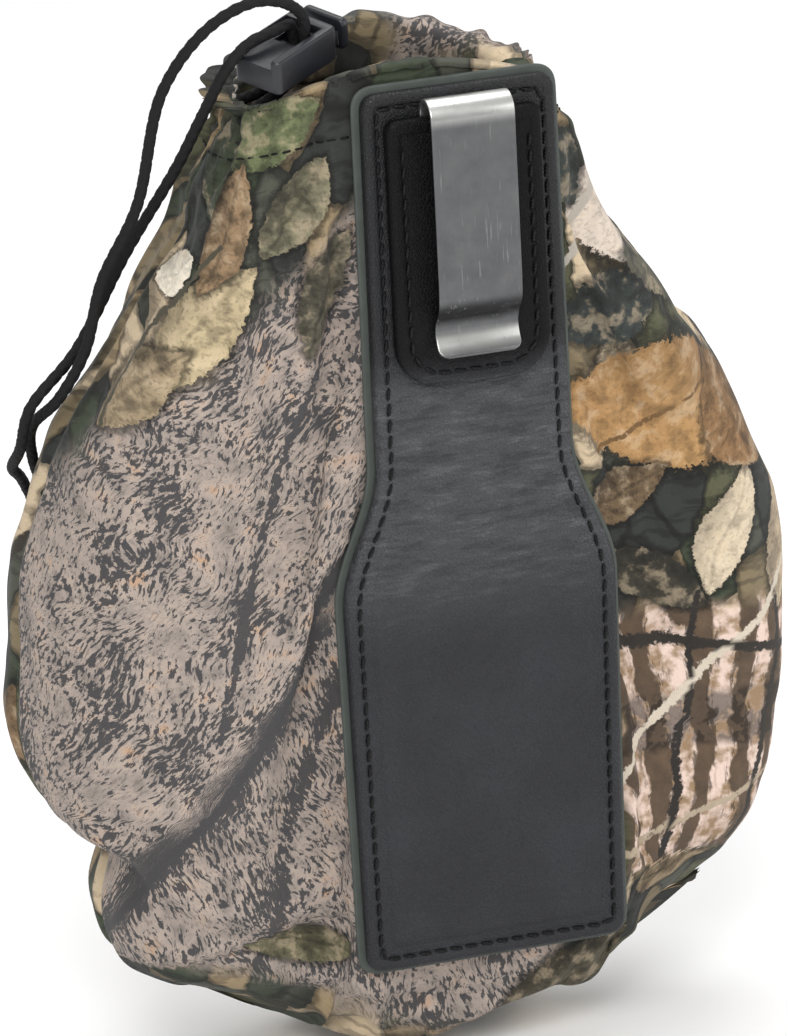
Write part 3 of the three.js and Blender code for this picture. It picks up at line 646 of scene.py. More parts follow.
    # The print is a little uneven, and lint lifts the colour.
    colour = g.shade(g.noise(flat, 0.8, 2, 0.7), colour, 0.2)
    colour = g.mix(0.02, colour, srgb(160, 154, 146))
    weave = g.add(g.math("SINE", g.mul(x, 2 * math.pi / 0.55)), g.math("SINE", g.mul(y, 2 * math.pi / 0.55)))
    nap = g.math("MULTIPLY_ADD", g.noise(flat, 0.35, 2, 0.8), 1.1, g.mul(weave, 0.18))
    normal = g.bump(nap, 0.12, 0.55)
    normal = g.bump(g.noise(flat, 3.2, 3, 0.6), 0.5, 0.35, after=normal)
    return g.finish(colour, 0.92, 0.0, normal, Sheen_Weight=0.06, Sheen_Roughness=0.6,
                    Specular_IOR_Level=0.2)


# ---- the other materials ------------------------------------------------------------------

def leather_material(name, tint, shine):
    """Pebbled leather, duller in its pores, with a painted highlight on the neck, painted shade and highlights
    on the folds there, and painted shade over the upper part.
    """
    g = Graph(name)
    mm = g.object_mm()
    pebble = g.step(g.voronoi(mm, 0.85, feature="DISTANCE_TO_EDGE"), 0.0, 0.2)
    pores = g.math("SUBTRACT", 1.0, pebble)
    creases = g.noise(mm, 2.4, 4, 0.6)
    cloudy = g.step(g.noise(mm, 24, 4, 0.6), 0.35, 0.68)
    base = g.mix(cloudy, srgb(*[c * 0.86 for c in tint]), srgb(*[c * 1.14 for c in tint]))
    _, _, z = g.split(mm)
    neck = g.mul(g.step(z, -114, -82), g.step(z, -36, -48))
    # Painted highlight: the neck is lightened where the curved leather would catch the light.
    base = g.mix(g.mul(neck, 0.8), base, srgb(65, 66, 69))
    folds = g.noise(g.mapped(mm, scale=(0.22, 1, 1)), 1.9, 3, 0.6)
    # Painted shade in the fold troughs and painted highlights on their crests at the neck; the same folds also
    # bump the surface below.
    base = g.shade(g.mul(g.step(folds, 0.5, 0.36), neck), base, 0.4)
    base = g.mix(g.mul(g.step(folds, 0.54, 0.7), g.mul(neck, 0.3)), base, srgb(104, 105, 109))
    # Painted shade: the leather above the neck, around the patch and clip, is darkened.
    base = g.shade(g.step(z, -48, -34), base, 0.62)
    base = g.shade(pores, base, 0.3)
    geometry = g.node("ShaderNodeNewGeometry")
    worn = g.mul(g.step(geometry.outputs["Pointiness"], 0.56, 0.66), 0.3)
    base = g.mix(worn, base, srgb(96, 97, 102))
    rough = g.math("MULTIPLY_ADD", g.noise(mm, 5, 4, 0.6), 0.2, 0.34)
    rough = g.math("MULTIPLY_ADD", pores, 0.14, rough)
    normal = g.bump(g.math("MULTIPLY_ADD", creases, 0.9, pebble), 0.13, 0.7)
    normal = g.bump(g.mul(folds, neck), 0.9, 0.75, after=normal)
    normal = g.bump(g.noise(mm, 30, 3), 2.2, 0.45, after=normal)
    return g.finish(base, rough, 0.0, normal, Specular_IOR_Level=shine)


def edge_paint():
    """The dark green-grey rim of the backing sheet."""
    g = Graph("edge_paint")
    mm = g.object_mm()
    base = g.mix(g.noise(mm, 4, 3), srgb(50, 56, 54), srgb(76, 82, 77))
    normal = g.bump(g.noise(mm, 0.8, 3), 0.08, 0.5)
    return g.finish(base, g.math("MULTIPLY_ADD", g.noise(mm, 2, 3), 0.2, 0.55), 0.0, normal)


def thread_material():
    g = Graph("waxed_thread")
    mm = g.object_mm()
    x, y, z = g.split(mm)
    ply = g.math("SINE", g.mul(g.add(g.add(x, z), g.mul(y, 0.5)), 7.0))
    base = g.mix(g.step(ply, -0.6, 0.8), srgb(3, 3, 4), srgb(17, 17, 19))
    return g.finish(base, 0.6, 0.0, g.bump(ply, 0.1, 0.6), Specular_IOR_Level=0.25)


def clip_steel():
    """Dark phosphated spring steel, worn brighter on its edges, with a painted highlight on the top bend and
    painted shade and a painted highlight on the lip.
    """
    g = Graph("clip_steel")
    mm = g.object_mm()
    brushed = g.noise(g.mapped(mm, scale=(1, 1, 0.03)), 0.35, 3, 0.7)
    clouds = g.noise(mm, 7, 4, 0.6)
    base = g.mix(clouds, srgb(82, 83, 86), srgb(116, 116, 116))
    _, _, z = g.split(mm)
    # Painted highlight: the top bend is turned near-white where it would catch the overhead light.
    bend_painted_highlight = g.mul(g.step(z, 19, 24.5), 0.85)
    base = g.mix(bend_painted_highlight, base, srgb(232, 232, 228))
    # Painted shade: the lip's inward hollow is darkened where light does not reach it.
    lip_hollow_painted_shade = g.step(g.math("ABSOLUTE", g.add(z, 26.5)), 4.0, 1.0)
    base = g.shade(lip_hollow_painted_shade, base, 0.72)
    # Painted highlight: a bright band along the crest of the lip.
    lip_crest_painted_highlight = g.step(g.math("ABSOLUTE", g.add(z, 34)), 3.2, 0.6)
    base = g.mix(g.mul(lip_crest_painted_highlight, 0.75), base, srgb(206, 206, 202))
    base = g.shade(brushed, base, 0.12)
    geometry = g.node("ShaderNodeNewGeometry")
    worn = g.step(geometry.outputs["Pointiness"], 0.53, 0.62)
    base = g.mix(g.mul(worn, 0.6), base, srgb(190, 190, 188))
    scratch = g.step(g.noise(g.mapped(mm, scale=(1, 1, 0.05), turn=0.2), 0.5, 2), 0.66, 0.7)
    base = g.mix(g.mul(scratch, 0.25), base, srgb(170, 170, 168))
    rough = g.math("MULTIPLY_ADD", g.noise(mm, 3, 4, 0.65), 0.16, 0.22)
    return g.finish(base, rough, 1.0, g.bump(g.add(brushed, g.noise(mm, 1.2, 3)), 0.03, 0.6))


def braided_cord():
    g = Graph("braided_cord")
    mm = g.object_mm()
    fibres = g.noise(mm, 0.35, 3, 0.7)
    base = g.mix(fibres, srgb(6, 6, 7), srgb(34, 33, 35))
    return g.finish(base, 0.8, 0.0, g.bump(fibres, 0.08, 0.5), Specular_IOR_Level=0.25)


def moulded(name, tint, rough=0.42, grain_mm=0.5, grain=0.03):
    """Moulded plastic or rubber with a fine spark-eroded grain and faint handling marks."""
    g = Graph(name)
    mm = g.object_mm()
    marks = g.noise(mm, 6, 4, 0.6)
    base = g.mix(marks, srgb(*[c * 0.85 for c in tint]), srgb(*[min(c * 1.18 + 3, 255) for c in tint]))
    roughness = g.math("MULTIPLY_ADD", g.noise(mm, 2.5, 4, 0.7), 0.18, rough - 0.09)
    return g.finish(base, roughness, 0.0, g.bump(g.noise(mm, grain_mm, 2), grain, 0.8))


def turned_wood():
    g = Graph("turned_wood")
    mm = g.object_mm()
    long_grain = g.mapped(mm, scale=(1, 1, 0.06))
    rings = g.noise(long_grain, 2.2, 4, 0.6, 1.2)
    pores = g.step(g.noise(g.mapped(mm, scale=(1, 1, 0.04), shift=(3, 9, 0)), 0.3, 2), 0.62, 0.7)
    base = g.ramp(rings, [(0.3, srgb(72, 38, 20)), (0.5, srgb(122, 74, 42)), (0.7, srgb(158, 106, 64))])
    base = g.shade(pores, base, 0.5)
    return g.finish(base, 0.34, 0.0, g.bump(pores, 0.04, -0.5), Coat_Weight=0.35, Coat_Roughness=0.2)


def film():
    g = Graph("reed_film")
    mm = g.object_mm()
    base = g.mix(g.noise(mm, 3, 2), srgb(196, 206, 210), srgb(226, 232, 234))
    return g.finish(base, g.math("MULTIPLY_ADD", g.noise(mm, 0.8, 2), 0.15, 0.2), 0.0)


def bright_steel():
    g = Graph("bright_steel")
    mm = g.object_mm()
    base = g.mix(g.noise(mm, 1.5, 3), srgb(150, 152, 154), srgb(196, 197, 198))
    return g.finish(base, g.math("MULTIPLY_ADD", g.noise(mm, 0.7, 3), 0.15, 0.26), 1.0)




# ---- cloth simulation ---------------------------------------------------------------------

SIM_STRIDE = 2
SIM_FRAMES = 16
SIM_SLACK = 0.05
SIM_PRESSURE = 4.5
LARGEST_MOVE = 7.0


def draped(points, wall_count, held):
    """How far each wall point moves when slack, lightly filled cloth settles, capped in length."""
    coarse = points[:wall_count:SIM_STRIDE, ::SIM_STRIDE]
    rows, cols = coarse.shape[:2]
    sheet = make_object("draping", coarse.reshape(-1, 3), grid_faces(rows, cols, wrap_cols=True), CLOTH)
    group = sheet.vertex_groups.new(name="held")
    weights = held[:wall_count:SIM_STRIDE, ::SIM_STRIDE].reshape(-1)
    for level in (1.0, 0.5):
        chosen = np.flatnonzero(weights >= 1) if level == 1.0 else np.flatnonzero((weights > 0) & (weights < 1))
        group.add(chosen.tolist(), level, "REPLACE")
    cloth = sheet.modifiers.new("cloth", "CLOTH")
    settings = cloth.settings
    settings.vertex_group_mass = "held"
    settings.quality = 4
    settings.mass = 0.15
    settings.tension_stiffness = 12
    settings.compression_stiffness = 12
    settings.shear_stiffness = 4
    settings.bending_stiffness = 0.02
    settings.shrink_min = -SIM_SLACK
    settings.use_pressure = True
    settings.uniform_pressure_force = SIM_PRESSURE
    cloth.collision_settings.use_collision = False
    cloth.collision_settings.use_self_collision = False
    cloth.point_cache.frame_start = 1
    cloth.point_cache.frame_end = SIM_FRAMES
    scene = bpy.context.scene
    for number in range(1, SIM_FRAMES + 1):
        scene.frame_set(number)
    depsgraph = bpy.context.evaluated_depsgraph_get()
    result = sheet.evaluated_get(depsgraph).data
    settled = np.empty(len(result.vertices) * 3)
    result.vertices.foreach_get("co", settled)
    bpy.data.objects.remove(sheet)
    scene.frame_set(1)
    move = settled.reshape(rows, cols, 3) / MM - ORIGIN - coarse
    length = np.linalg.norm(move, axis=2, keepdims=True)
    move *= LARGEST_MOVE * np.tanh(length / LARGEST_MOVE) / np.maximum(length, 1e-6)

    # Spread the coarse moves over the fine grid.
    fine_rows = np.arange(wall_count) / SIM_STRIDE
    fine_cols = np.arange(points.shape[1]) / SIM_STRIDE
    r = np.minimum(fine_rows.astype(int), rows - 2)
    fr = (np.minimum(fine_rows, rows - 1) - r)[:, None, None]
    c = fine_cols.astype(int) % cols
    fc = (fine_cols - fine_cols.astype(int))[None, :, None]
    by_row = move[r] * (1 - fr) + move[r + 1] * fr
    fine = by_row[:, c] * (1 - fc) + by_row[:, (c + 1) % cols] * fc
    total = np.zeros_like(points)
    total[:wall_count] = fine
    for axis in (0, 1):
        ahead, behind = np.roll(total, 1, axis), np.roll(total, -1, axis)
        total[1:wall_count - 1] = (0.5 * total + 0.25 * (ahead + behind))[1:wall_count - 1]
    return total


# ---- the pouch ----------------------------------------------------------------------------

LEFT_X = [-50, -57, -70, -84, -97, -106, -109, -106, -97, -78]
RIGHT_X = [27, 32, 43, 60, 77, 87, 90, 88, 82, 66]
SIDE_Z = [244, 227, 205, 179, 154, 129, 103, 78, 55, 27]
MIDDLE_Z = [254, 231, 206, 179, 153, 127, 101, 75, 34]
SEAM_Y = [24.6, 27, 30, 34, 37, 38, 38, 37, 34, 30]
REAR_Y = [49, 54, 61, 68, 74, 77, 78, 76, 68, 60]
CLOSING = 8 / 9
RIM_DROP_SCALE = 1 / 207
FLATNESS = {-1: 3.4, 1: 2.4}
POUCH_FRONT = 0.3
RIM_HEIGHT = 254
HALF_COLUMNS = 170
WALL_ROWS = 170
CLOSE_ROWS = 26
HEM = [(0.5, 0.5), (0.1, 1.6), (0, 3.1), (0.3, 4.6), (1.2, 5.7), (3, 6.2), (6, 6.3), (9, 6.2),
       (12, 6.0), (14, 5.0), (15.2, 3.6)]
HEM_STITCH_DROP = 16.4
BACK_PRINT_CENTRE = 30
BACK_PRINT_DROP = 26
PLEATS = 18


def pouch_point(half, u, t, inset=0.0):
    """A point of the pouch wall: u from -1 (left seam) to 1 (right), t from 0 (rim) to 1."""
    u = np.asarray(u, float)
    t = np.full_like(u, t)
    left = spline(LEFT_X, t) + inset
    right = spline(RIGHT_X, t) - inset
    seam = spline(SEAM_Y, t)
    turn = np.clip(t - CLOSING, 0, None) / (1 - CLOSING) * (math.pi / 2)
    middle = np.where(turn > 0, inset + (MIDDLE_Z[8] - inset) * (1 - np.sin(turn)),
                      spline(MIDDLE_Z, t / CLOSING))
    power = FLATNESS[half]
    bulge = np.clip(1 - np.abs(u) ** power, 0, None) ** (1 / power) * np.cos(turn)
    face = POUCH_FRONT + inset if half < 0 else spline(REAR_Y, t) - inset
    return np.stack([(left + right) / 2 + (right - left) / 2 * u,
                     seam + (face - seam) * bulge,
                     middle + (spline(SIDE_Z, t) - middle) * u * u], -1)


def pouch_row(t, inset=0.0):
    """One level of the pouch: front from left to right, then rear back to the left."""
    angle = np.linspace(0, math.pi, 260)
    cosine = np.cos(angle)
    sides = []
    for half in (-1, 1):
        u = -np.sign(cosine) * np.abs(cosine) ** (2 / FLATNESS[half])
        line = resample(pouch_point(half, u, t, inset), count=HALF_COLUMNS + 1)
        sides.append(line if half < 0 else line[::-1])
    return np.vstack([sides[0][:-1], sides[1][:-1]])


def panel_half_width(z):
    """Half-width of the leather panel at a height."""
    above = z - 28
    return np.where(above > 128, 24.5, np.where(above < 93, 34.2, 34.2 - 9.7 * smoothstep(93, 128, above)))


CREASES = [
    # start (x, z), end (x, z), bow, half width, height: ridges are positive, valleys negative
    ((-27, 236), (-62, 176), 4, 5.0, 2.6), ((-33, 240), (-76, 182), 5, 4.0, -2.4),
    ((-41, 240), (-86, 172), 4, 4.5, 2.0), ((-26, 214), (-30, 130), 2, 4.0, 2.0),
    ((-31, 218), (-40, 150), 3, 4.5, -1.8), ((-98, 62), (-34, 34), -7, 4.0, -3.4),
    ((-100, 74), (-40, 46), -9, 6.0, 3.0), ((-86, 40), (-30, 22), -5, 3.6, 2.4),
    ((-60, 24), (10, 14), -3, 3.4, -2.2), ((-20, 12), (50, 20), -2, 3.6, 2.2),
    ((28, 236), (48, 196), -3, 4.0, 2.6), ((27, 222), (62, 172), -5, 4.5, -2.6),
    ((28, 206), (74, 160), -5, 6.0, 2.4), ((36, 176), (86, 138), -4, 4.5, -1.9),
    ((37, 128), (84, 96), 5, 6.0, 1.8), ((37, 106), (88, 70), 7, 5.0, -1.7),
    ((36, 62), (78, 50), 4, 5.0, 1.8), ((38, 48), (70, 34), 3, 3.6, -2.0),
    ((-37, 116), (-92, 124), 6, 6.5, 1.4), ((-38, 84), (-98, 94), 6, 6.0, -1.4),
    ((-40, 66), (-96, 84), 5, 5.0, 1.2),
]
REAR_CREASE_MIRROR = -19


def crease_height(x, z):
    total = np.zeros_like(x)
    for start, end, bow, width, height in CREASES:
        dx, dz = end[0] - start[0], end[1] - start[1]
        length = math.hypot(dx, dz)
        along = ((x - start[0]) * dx + (z - start[1]) * dz) / length ** 2
        across = (-(x - start[0]) * dz + (z - start[1]) * dx) / length
        across = across - 4 * bow * along * (1 - along)
        fade = smoothstep(-0.1, 0.25, along) * smoothstep(1.15, 0.7, along)
        spread = width * (0.7 + 0.6 * np.clip(along, 0, 1))
        total += height * fade * np.exp(-(across / spread) ** 2)
    return total


def lumpy(points, size, seed):
    """Smooth seeded noise, about -1 to 1: waves in many directions, bent by each other."""
    rng = np.random.default_rng(seed)
    p = points / size
    total = np.zeros(points.shape[:-1])
    for _ in range(9):
        direction = rng.normal(size=3)
        direction *= rng.uniform(1.2, 3.2) / np.linalg.norm(direction)
        bend_painted_highlight = rng.normal(size=3) * 0.7
        total += np.sin(p @ direction + 1.4 * np.sin(p @ bend_painted_highlight + rng.uniform(0, 6)) + rng.uniform(0, 6))
    return total / 3.2


def grid_normals(grid):
    """Outward unit normals of a pouch grid, whose columns wrap round."""
    along = np.roll(grid, -1, 1) - np.roll(grid, 1, 1)
    down = np.gradient(grid, axis=0)
    normal = np.cross(along, down)
    normal /= np.maximum(np.linalg.norm(normal, axis=2), 1e-9)[..., None]
    middle = np.array([-10.0, 34.0, 120.0])
    if np.mean(np.sum(normal[40:120] * (grid[40:120] - middle), axis=2)) < 0:
        normal = -normal
    return normal


def pouch_grid():
    """The smooth pouch wall and its hem, from the bottom up, and the row where the hem starts."""
    stations = np.concatenate([
        1 - (1 - CLOSING) * np.linspace(0, 1, CLOSE_ROWS, endpoint=False),
        CLOSING * (1 - np.linspace(0, 1, WALL_ROWS, endpoint=False) ** 0.97),
        [2.0 * RIM_DROP_SCALE, 1.1 * RIM_DROP_SCALE]])
    rows = [pouch_row(t) for t in stations]
    rows += [pouch_row(drop * RIM_DROP_SCALE, inset) for drop, inset in HEM]
    return np.array(rows), len(stations)


def cloth_relief(grid, wall_count):
    """How far each point of the smooth wall moves along its normal: gathers, folds and seams."""
    x, z = grid[..., 0], grid[..., 2]
    cols = grid.shape[1]
    col = np.arange(cols)
    is_front = (col < HALF_COLUMNS)[None, :]
    drop = RIM_HEIGHT - z
    seam = np.minimum(np.minimum(col, cols - col), np.abs(col - HALF_COLUMNS))[None, :] * 1.2
    warp = lumpy(grid, 26, 4)

    # Gathers run down from the drawn rim, some longer than others.
    turn = (col / cols)[None, :] * 2 * math.pi
    phase = PLEATS * turn + 2.2 * warp + 1.5 * np.sin(2 * turn + 1)
    pleat = 0.8 * np.cos(phase) + 0.45 * np.cos(2 * phase + 3 * np.sin(turn) + 1.3)
    reach = 34 + 30 * np.cos(3 * turn + 0.6)
    push = 2.9 * pleat * np.exp(-np.clip(drop, 0, None) / np.clip(reach, 22, None))
    push = push * (0.3 + 0.7 * smoothstep(2, 24, drop)) * (0.15 + 0.85 * smoothstep(0, 18, seam))

    push = push + 1.9 * lumpy(grid, 34, 1)
    push = push + 1.1 * lumpy(grid, 15, 2) * (0.5 + 0.5 * smoothstep(20, 120, drop))
    push = push + 0.2 * lumpy(grid, 6, 3)
    push = push + np.where(is_front, crease_height(x, z), crease_height(REAR_CREASE_MIRROR - x, z) * 0.9)
    # The filled pouch stands out at the sides, most at the right shoulder, and the left side
    # is pinched in above its lower lobe.
    off_panel = np.abs(x) - panel_half_width(z)
    push = push + 4.6 * smoothstep(14, 50, off_panel) * smoothstep(12, 40, z) * smoothstep(238, 205, z)
    push = push + 4.5 * smoothstep(28, 42, x) * np.exp(-((z - 192) / 20) ** 2)
    left = np.exp(-((x - LEFT_X[6]) / 34) ** 2)
    push = push + left * (1.5 * np.exp(-((z - 92) / 16) ** 2) - 12 * np.exp(-((z - 61) / 9) ** 2)
                          + 5.0 * np.exp(-((z - 36) / 12) ** 2))
    push = push - 8 * smoothstep(22, 52, x) * np.exp(-((z - 14) / 17) ** 2)
    ripple = np.sin(z / 8.5 * 2 * math.pi + 4 * warp)
    push = push + np.where(is_front, 0.7 * ripple * np.exp(-np.clip(off_panel, 0, None) / 7), 0)
    push = push - 1.1 * np.exp(-(seam / 1.6) ** 2)
    push = push + 0.7 * np.exp(-((seam - 3.6) / 2.2) ** 2)
    push = push - 0.9 * np.exp(-((drop - HEM_STITCH_DROP) / 1.2) ** 2)
    push = push * smoothstep(0, 10, z + 2)
    push = np.where(np.arange(len(grid))[:, None] >= wall_count, push * 0.45, push)

    # The cloth stays behind the panel and falls away just beside it.
    behind = smoothstep(7, -1, off_panel) * smoothstep(20, 30, z) * smoothstep(256, 250, z)
    behind = np.where(is_front, behind, 0)
    return push * (1 - behind) - 0.25 * behind, off_panel, is_front


def print_coordinates(grid, wall_count):
    """Flat print coordinates of every grid corner, with the first column repeated at the end."""
    step = np.linalg.norm(np.roll(grid, -1, 1) - grid, axis=2)
    around = np.hstack([np.zeros((len(grid), 1)), np.cumsum(step, axis=1)])
    centre = np.argmin(np.abs(grid[:, :HALF_COLUMNS, 0]), axis=1)
    from_centre = around - np.take_along_axis(around, centre[:, None], 1)
    rear_middle = HALF_COLUMNS + HALF_COLUMNS // 2
    from_rear = around - around[:, rear_middle:rear_middle + 1] + BACK_PRINT_CENTRE
    rise = np.linalg.norm(np.diff(grid[:, HALF_COLUMNS // 2], axis=0), axis=1)
    middle_rise = np.concatenate([[0], np.cumsum(rise)])[:, None]
    top = middle_rise[wall_count - 1]
    z = np.hstack([grid[..., 2], grid[:, :1, 2]])
    height = np.where(z > 40, z, RIM_HEIGHT - (top - middle_rise))
    in_hem = np.arange(len(grid))[:, None] >= wall_count
    height = np.where(in_hem, RIM_HEIGHT + middle_rise - top, height)
    return from_centre, from_rear, height


def build_pouch():
    grid, wall_count = pouch_grid()
    cols = grid.shape[1]
    from_centre, from_rear, height = print_coordinates(grid, wall_count)
    push, off_panel, is_front = cloth_relief(grid, wall_count)
    normal = grid_normals(grid)
    moved = grid + normal * push[..., None]
    z = grid[..., 2]
    held = np.where((off_panel < 2) & is_front & (z > 24), 1.0, 0.0)
    held = np.maximum(held, np.where((z > RIM_HEIGHT - 30) | (z < 5), 1.0, 0.0))
    moved = moved + draped(moved, wall_count, held)
    near_panel = (off_panel < 3) & is_front & (grid[..., 2] > 24)
    moved[..., 1] = np.maximum(moved[..., 1], np.where(near_panel, POUCH_FRONT - 0.05, -7.0))
    moved[0] = grid[0]

    faces = grid_faces(len(grid), cols, wrap_cols=True)
    obj = make_object("pouch_cloth", moved.reshape(-1, 3), faces, CLOTH)
    column = np.tile(np.arange(cols), len(grid) - 1)
    row = np.repeat(np.arange(len(grid) - 1), cols)
    corner_rows = np.stack([row, row, row + 1, row + 1], 1)
    corner_cols = np.stack([column, column + 1, column + 1, column], 1)
    front_face = (column < HALF_COLUMNS)[:, None]
    u = np.where(front_face, from_centre[corner_rows, corner_cols], from_rear[corner_rows, corner_cols])
    v = height[corner_rows, corner_cols] - np.where(front_face, 0, BACK_PRINT_DROP)
    uv = obj.data.uv_layers.new(name="flat")
    uv.data.foreach_set("uv", (np.stack([u, v], -1) / 100).astype(np.float32).reshape(-1))
    print_x = np.where(is_front, from_centre[:, :-1], from_rear[:, :-1])
    print_on(obj.data, print_x, height[:, :-1] - np.where(is_front, 0, BACK_PRINT_DROP))

    bm = bmesh.new()
    bm.from_mesh(obj.data)
    bm.verts.ensure_lookup_table()
    bmesh.ops.remove_doubles(bm, verts=[bm.verts[i] for i in range(cols)], dist=0.05 * MM)
    bmesh.ops.recalc_face_normals(bm, faces=bm.faces)
    bm.to_mesh(obj.data)
    bm.free()
    solid = obj.modifiers.new("thickness", "SOLIDIFY")
    solid.thickness = 0.9 * MM
    solid.offset = -1
    apply_modifiers(obj)
    place(obj, "pouch", "cloth", "pouch_front_cloth", "pouch_back_cloth")
    return moved, grid_normals(moved), grid


# ---- the leather panel --------------------------------------------------------------------

PANEL_BOTTOM = 28
PANEL_TOP = 248
NECK_Z = 156
FLARE_Z = 121
PATCH_HALF = 19.5
PATCH_TOP = 242
PATCH_BOTTOM = 175.4
PATCH_CORNER = 11
PATCH_TOP_CORNER = 3.5
STITCH_PITCH = 4.0
PANEL_STITCH_INSET = 3.3
PATCH_STITCH_INSET = 3.6
PANEL_FACE = -5.05
PATCH_FACE = -8.65


def segment(a, b, count):
    t = np.linspace(0, 1, count, endpoint=False)[:, None]
    return (1 - t) * np.asarray(a, float) + t * np.asarray(b, float)


def bezier(points, count):
    p = np.asarray(points, float)
    t = np.linspace(0, 1, count, endpoint=False)[:, None]
    if len(p) == 3:
        return (1 - t) ** 2 * p[0] + 2 * t * (1 - t) * p[1] + t * t * p[2]
    return ((1 - t) ** 3 * p[0] + 3 * t * (1 - t) ** 2 * p[1] + 3 * t * t * (1 - t) * p[2] + t ** 3 * p[3])


def panel_outline(grow):
    """The bottle-shaped outline as (x, z) points, anticlockwise from the lower left."""
    corner = max(4.5 + grow, 0.6)
    top, bottom = PANEL_TOP + grow, PANEL_BOTTOM - grow
    top_half, neck, flare, foot = 24.2 + grow, 24.7 + grow, 34.6 + grow, 33.4 + grow
    bend_painted_highlight = 12
    right = [
        bezier([(foot - corner, bottom), (foot, bottom), (foot, bottom + corner)], 8),
        segment((foot, bottom + corner), (flare, FLARE_Z), 30),
        bezier([(flare, FLARE_Z), (flare, FLARE_Z + bend_painted_highlight), (neck, NECK_Z - bend_painted_highlight), (neck, NECK_Z)], 20),
        segment((neck, NECK_Z), (top_half, top - corner), 30),
        bezier([(top_half, top - corner), (top_half, top), (top_half - corner, top)], 8),
        segment((top_half - corner, top), (0, top), 8)]
    right = np.vstack(right)
    left = np.vstack([right[1:], [(0, top)]])[::-1] * (-1, 1)
    base = segment((-(foot - corner), bottom), (foot - corner, bottom), 16)
    return np.vstack([base, right, left])


def patch_outline(grow):
    """The clip patch's outline: square shoulders above, round corners below."""
    half, bottom, top = PATCH_HALF + grow, PATCH_BOTTOM - grow, PATCH_TOP + grow
    corner = max(PATCH_CORNER + grow, 0.6)
    shoulder = max(PATCH_TOP_CORNER + grow, 0.5)
    quarter = np.linspace(-math.pi / 2, 0, 14)
    low = np.stack([half - corner + corner * np.cos(quarter), bottom + corner + corner * np.sin(quarter)], 1)
    high = bezier([(half, top - shoulder), (half, top), (half - shoulder, top)], 8)
    right = np.vstack([low, segment(low[-1], high[0], 20)[1:], high, segment(high[-1], (0, top), 8)[1:]])
    left = np.vstack([right[1:], [(0, top)]])[::-1] * (-1, 1)
    base = segment((-(half - corner), bottom), (half - corner, bottom), 10)
    return np.vstack([base, right, left])


def layered(name, outline, profile, material, relief=None):
    """A sheet built from matching outlines, one for each (grow, y) of its edge profile."""
    rings = []
    for grow, depth in profile:
        flat = outline(grow)
        y = np.full(len(flat), depth, float)
        if relief is not None:
            y = y + relief(flat, grow)
        rings.append(np.stack([flat[:, 0], y, flat[:, 1]], 1))
    verts, faces = stack_rings(rings)
    return outward(make_object(name, verts, faces, material))


def leather_panel():
    profile = [(-5.5, -1.5), (-0.6, -1.5), (-0.15, -1.75), (0.05, -2.3), (0.05, -3.6), (-0.25, -4.4),
               (-0.8, -4.85), (-1.5, -5.0), (-2.3, -5.02), (-2.8, -4.9), (-3.1, -4.72), (-3.5, -4.72),
               (-3.8, -4.9), (-4.3, -5.03), (-5.6, PANEL_FACE), (-6.2, PANEL_FACE), (-6.8, -5.2),
               (-7.6, -5.26), (-9.5, -5.22), (-12, -5.15), (-15, -5.1)]

    def relief(flat, grow):
        """Padded inside the stitches low down, and waving gently from top to bottom."""
        padded = -0.12 * smoothstep(150, 120, flat[:, 1]) * (grow <= -6.5)
        return padded + 0.1 * np.sin(flat[:, 1] / 31) * smoothstep(-2, -5, grow)
    return place(layered("leather_panel_hide", panel_outline, profile, LEATHER, relief),
                 "pouch", "leather", "leather_panel")


def panel_backing():
    profile = [(1.0, 0), (1.45, -0.15), (1.6, -0.5), (1.6, -0.8), (1.4, -1.1), (1.0, -1.2), (-4, -1.2)]
    return place(layered("panel_backing_sheet", panel_outline, profile, EDGE), "pouch", "backing",
                 "panel_backing")


def clip_patch():
    profile = [(-2, -5.3), (-0.4, -5.3), (0.0, -5.6), (0.05, -7.2), (-0.2, -7.95), (-0.8, -8.45),
               (-1.6, -8.62), (-2.7, PATCH_FACE), (-3.1, -8.5), (-3.4, -8.36), (-3.8, -8.36),
               (-4.1, -8.5), (-4.6, -8.64), (-6, -8.7)]
    return place(layered("clip_patch_hide", patch_outline, profile, PATCH_LEATHER_PAINTED_SHADE),
                 "pouch", "leather", "clip_patch")


def stitches_round(name, outline, depth, inset, slot, node, below=None):
    """A row of real stitches round an outline, or round the part of it below a height."""
    flat = outline(-inset)
    if below is None:
        flat = np.vstack([flat, flat[:1]])
    else:
        flat = np.roll(flat, -int(np.argmax(flat[:, 1])), axis=0)
        flat = flat[flat[:, 1] < below]
    path = np.stack([flat[:, 0], np.full(len(flat), depth), flat[:, 1]], 1)
    centres, along = stitch_line(path, STITCH_PITCH)
    outwards = np.tile([0.0, -1.0, 0.0], (len(centres), 1))
    slanted = along + 0.16 * np.cross(along, outwards)
    slanted /= np.linalg.norm(slanted, axis=1)[:, None]
    verts, faces = capsules(centres, slanted, outwards, 3.3, 0.42, 0.22)
    return place(make_object(name, verts, faces, THREAD), "pouch", slot, node)


def build_panel():
    panel_backing()
    leather_panel()
    clip_patch()
    stitches_round("panel_stitches", panel_outline, PANEL_FACE + 0.2, PANEL_STITCH_INSET, "thread",
                   "panel_thread")
    stitches_round("patch_stitches", patch_outline, PATCH_FACE + 0.2, PATCH_STITCH_INSET, "thread",
                   "patch_thread", below=PATCH_TOP - 4.5)


# ---- the belt clip ------------------------------------------------------------------------

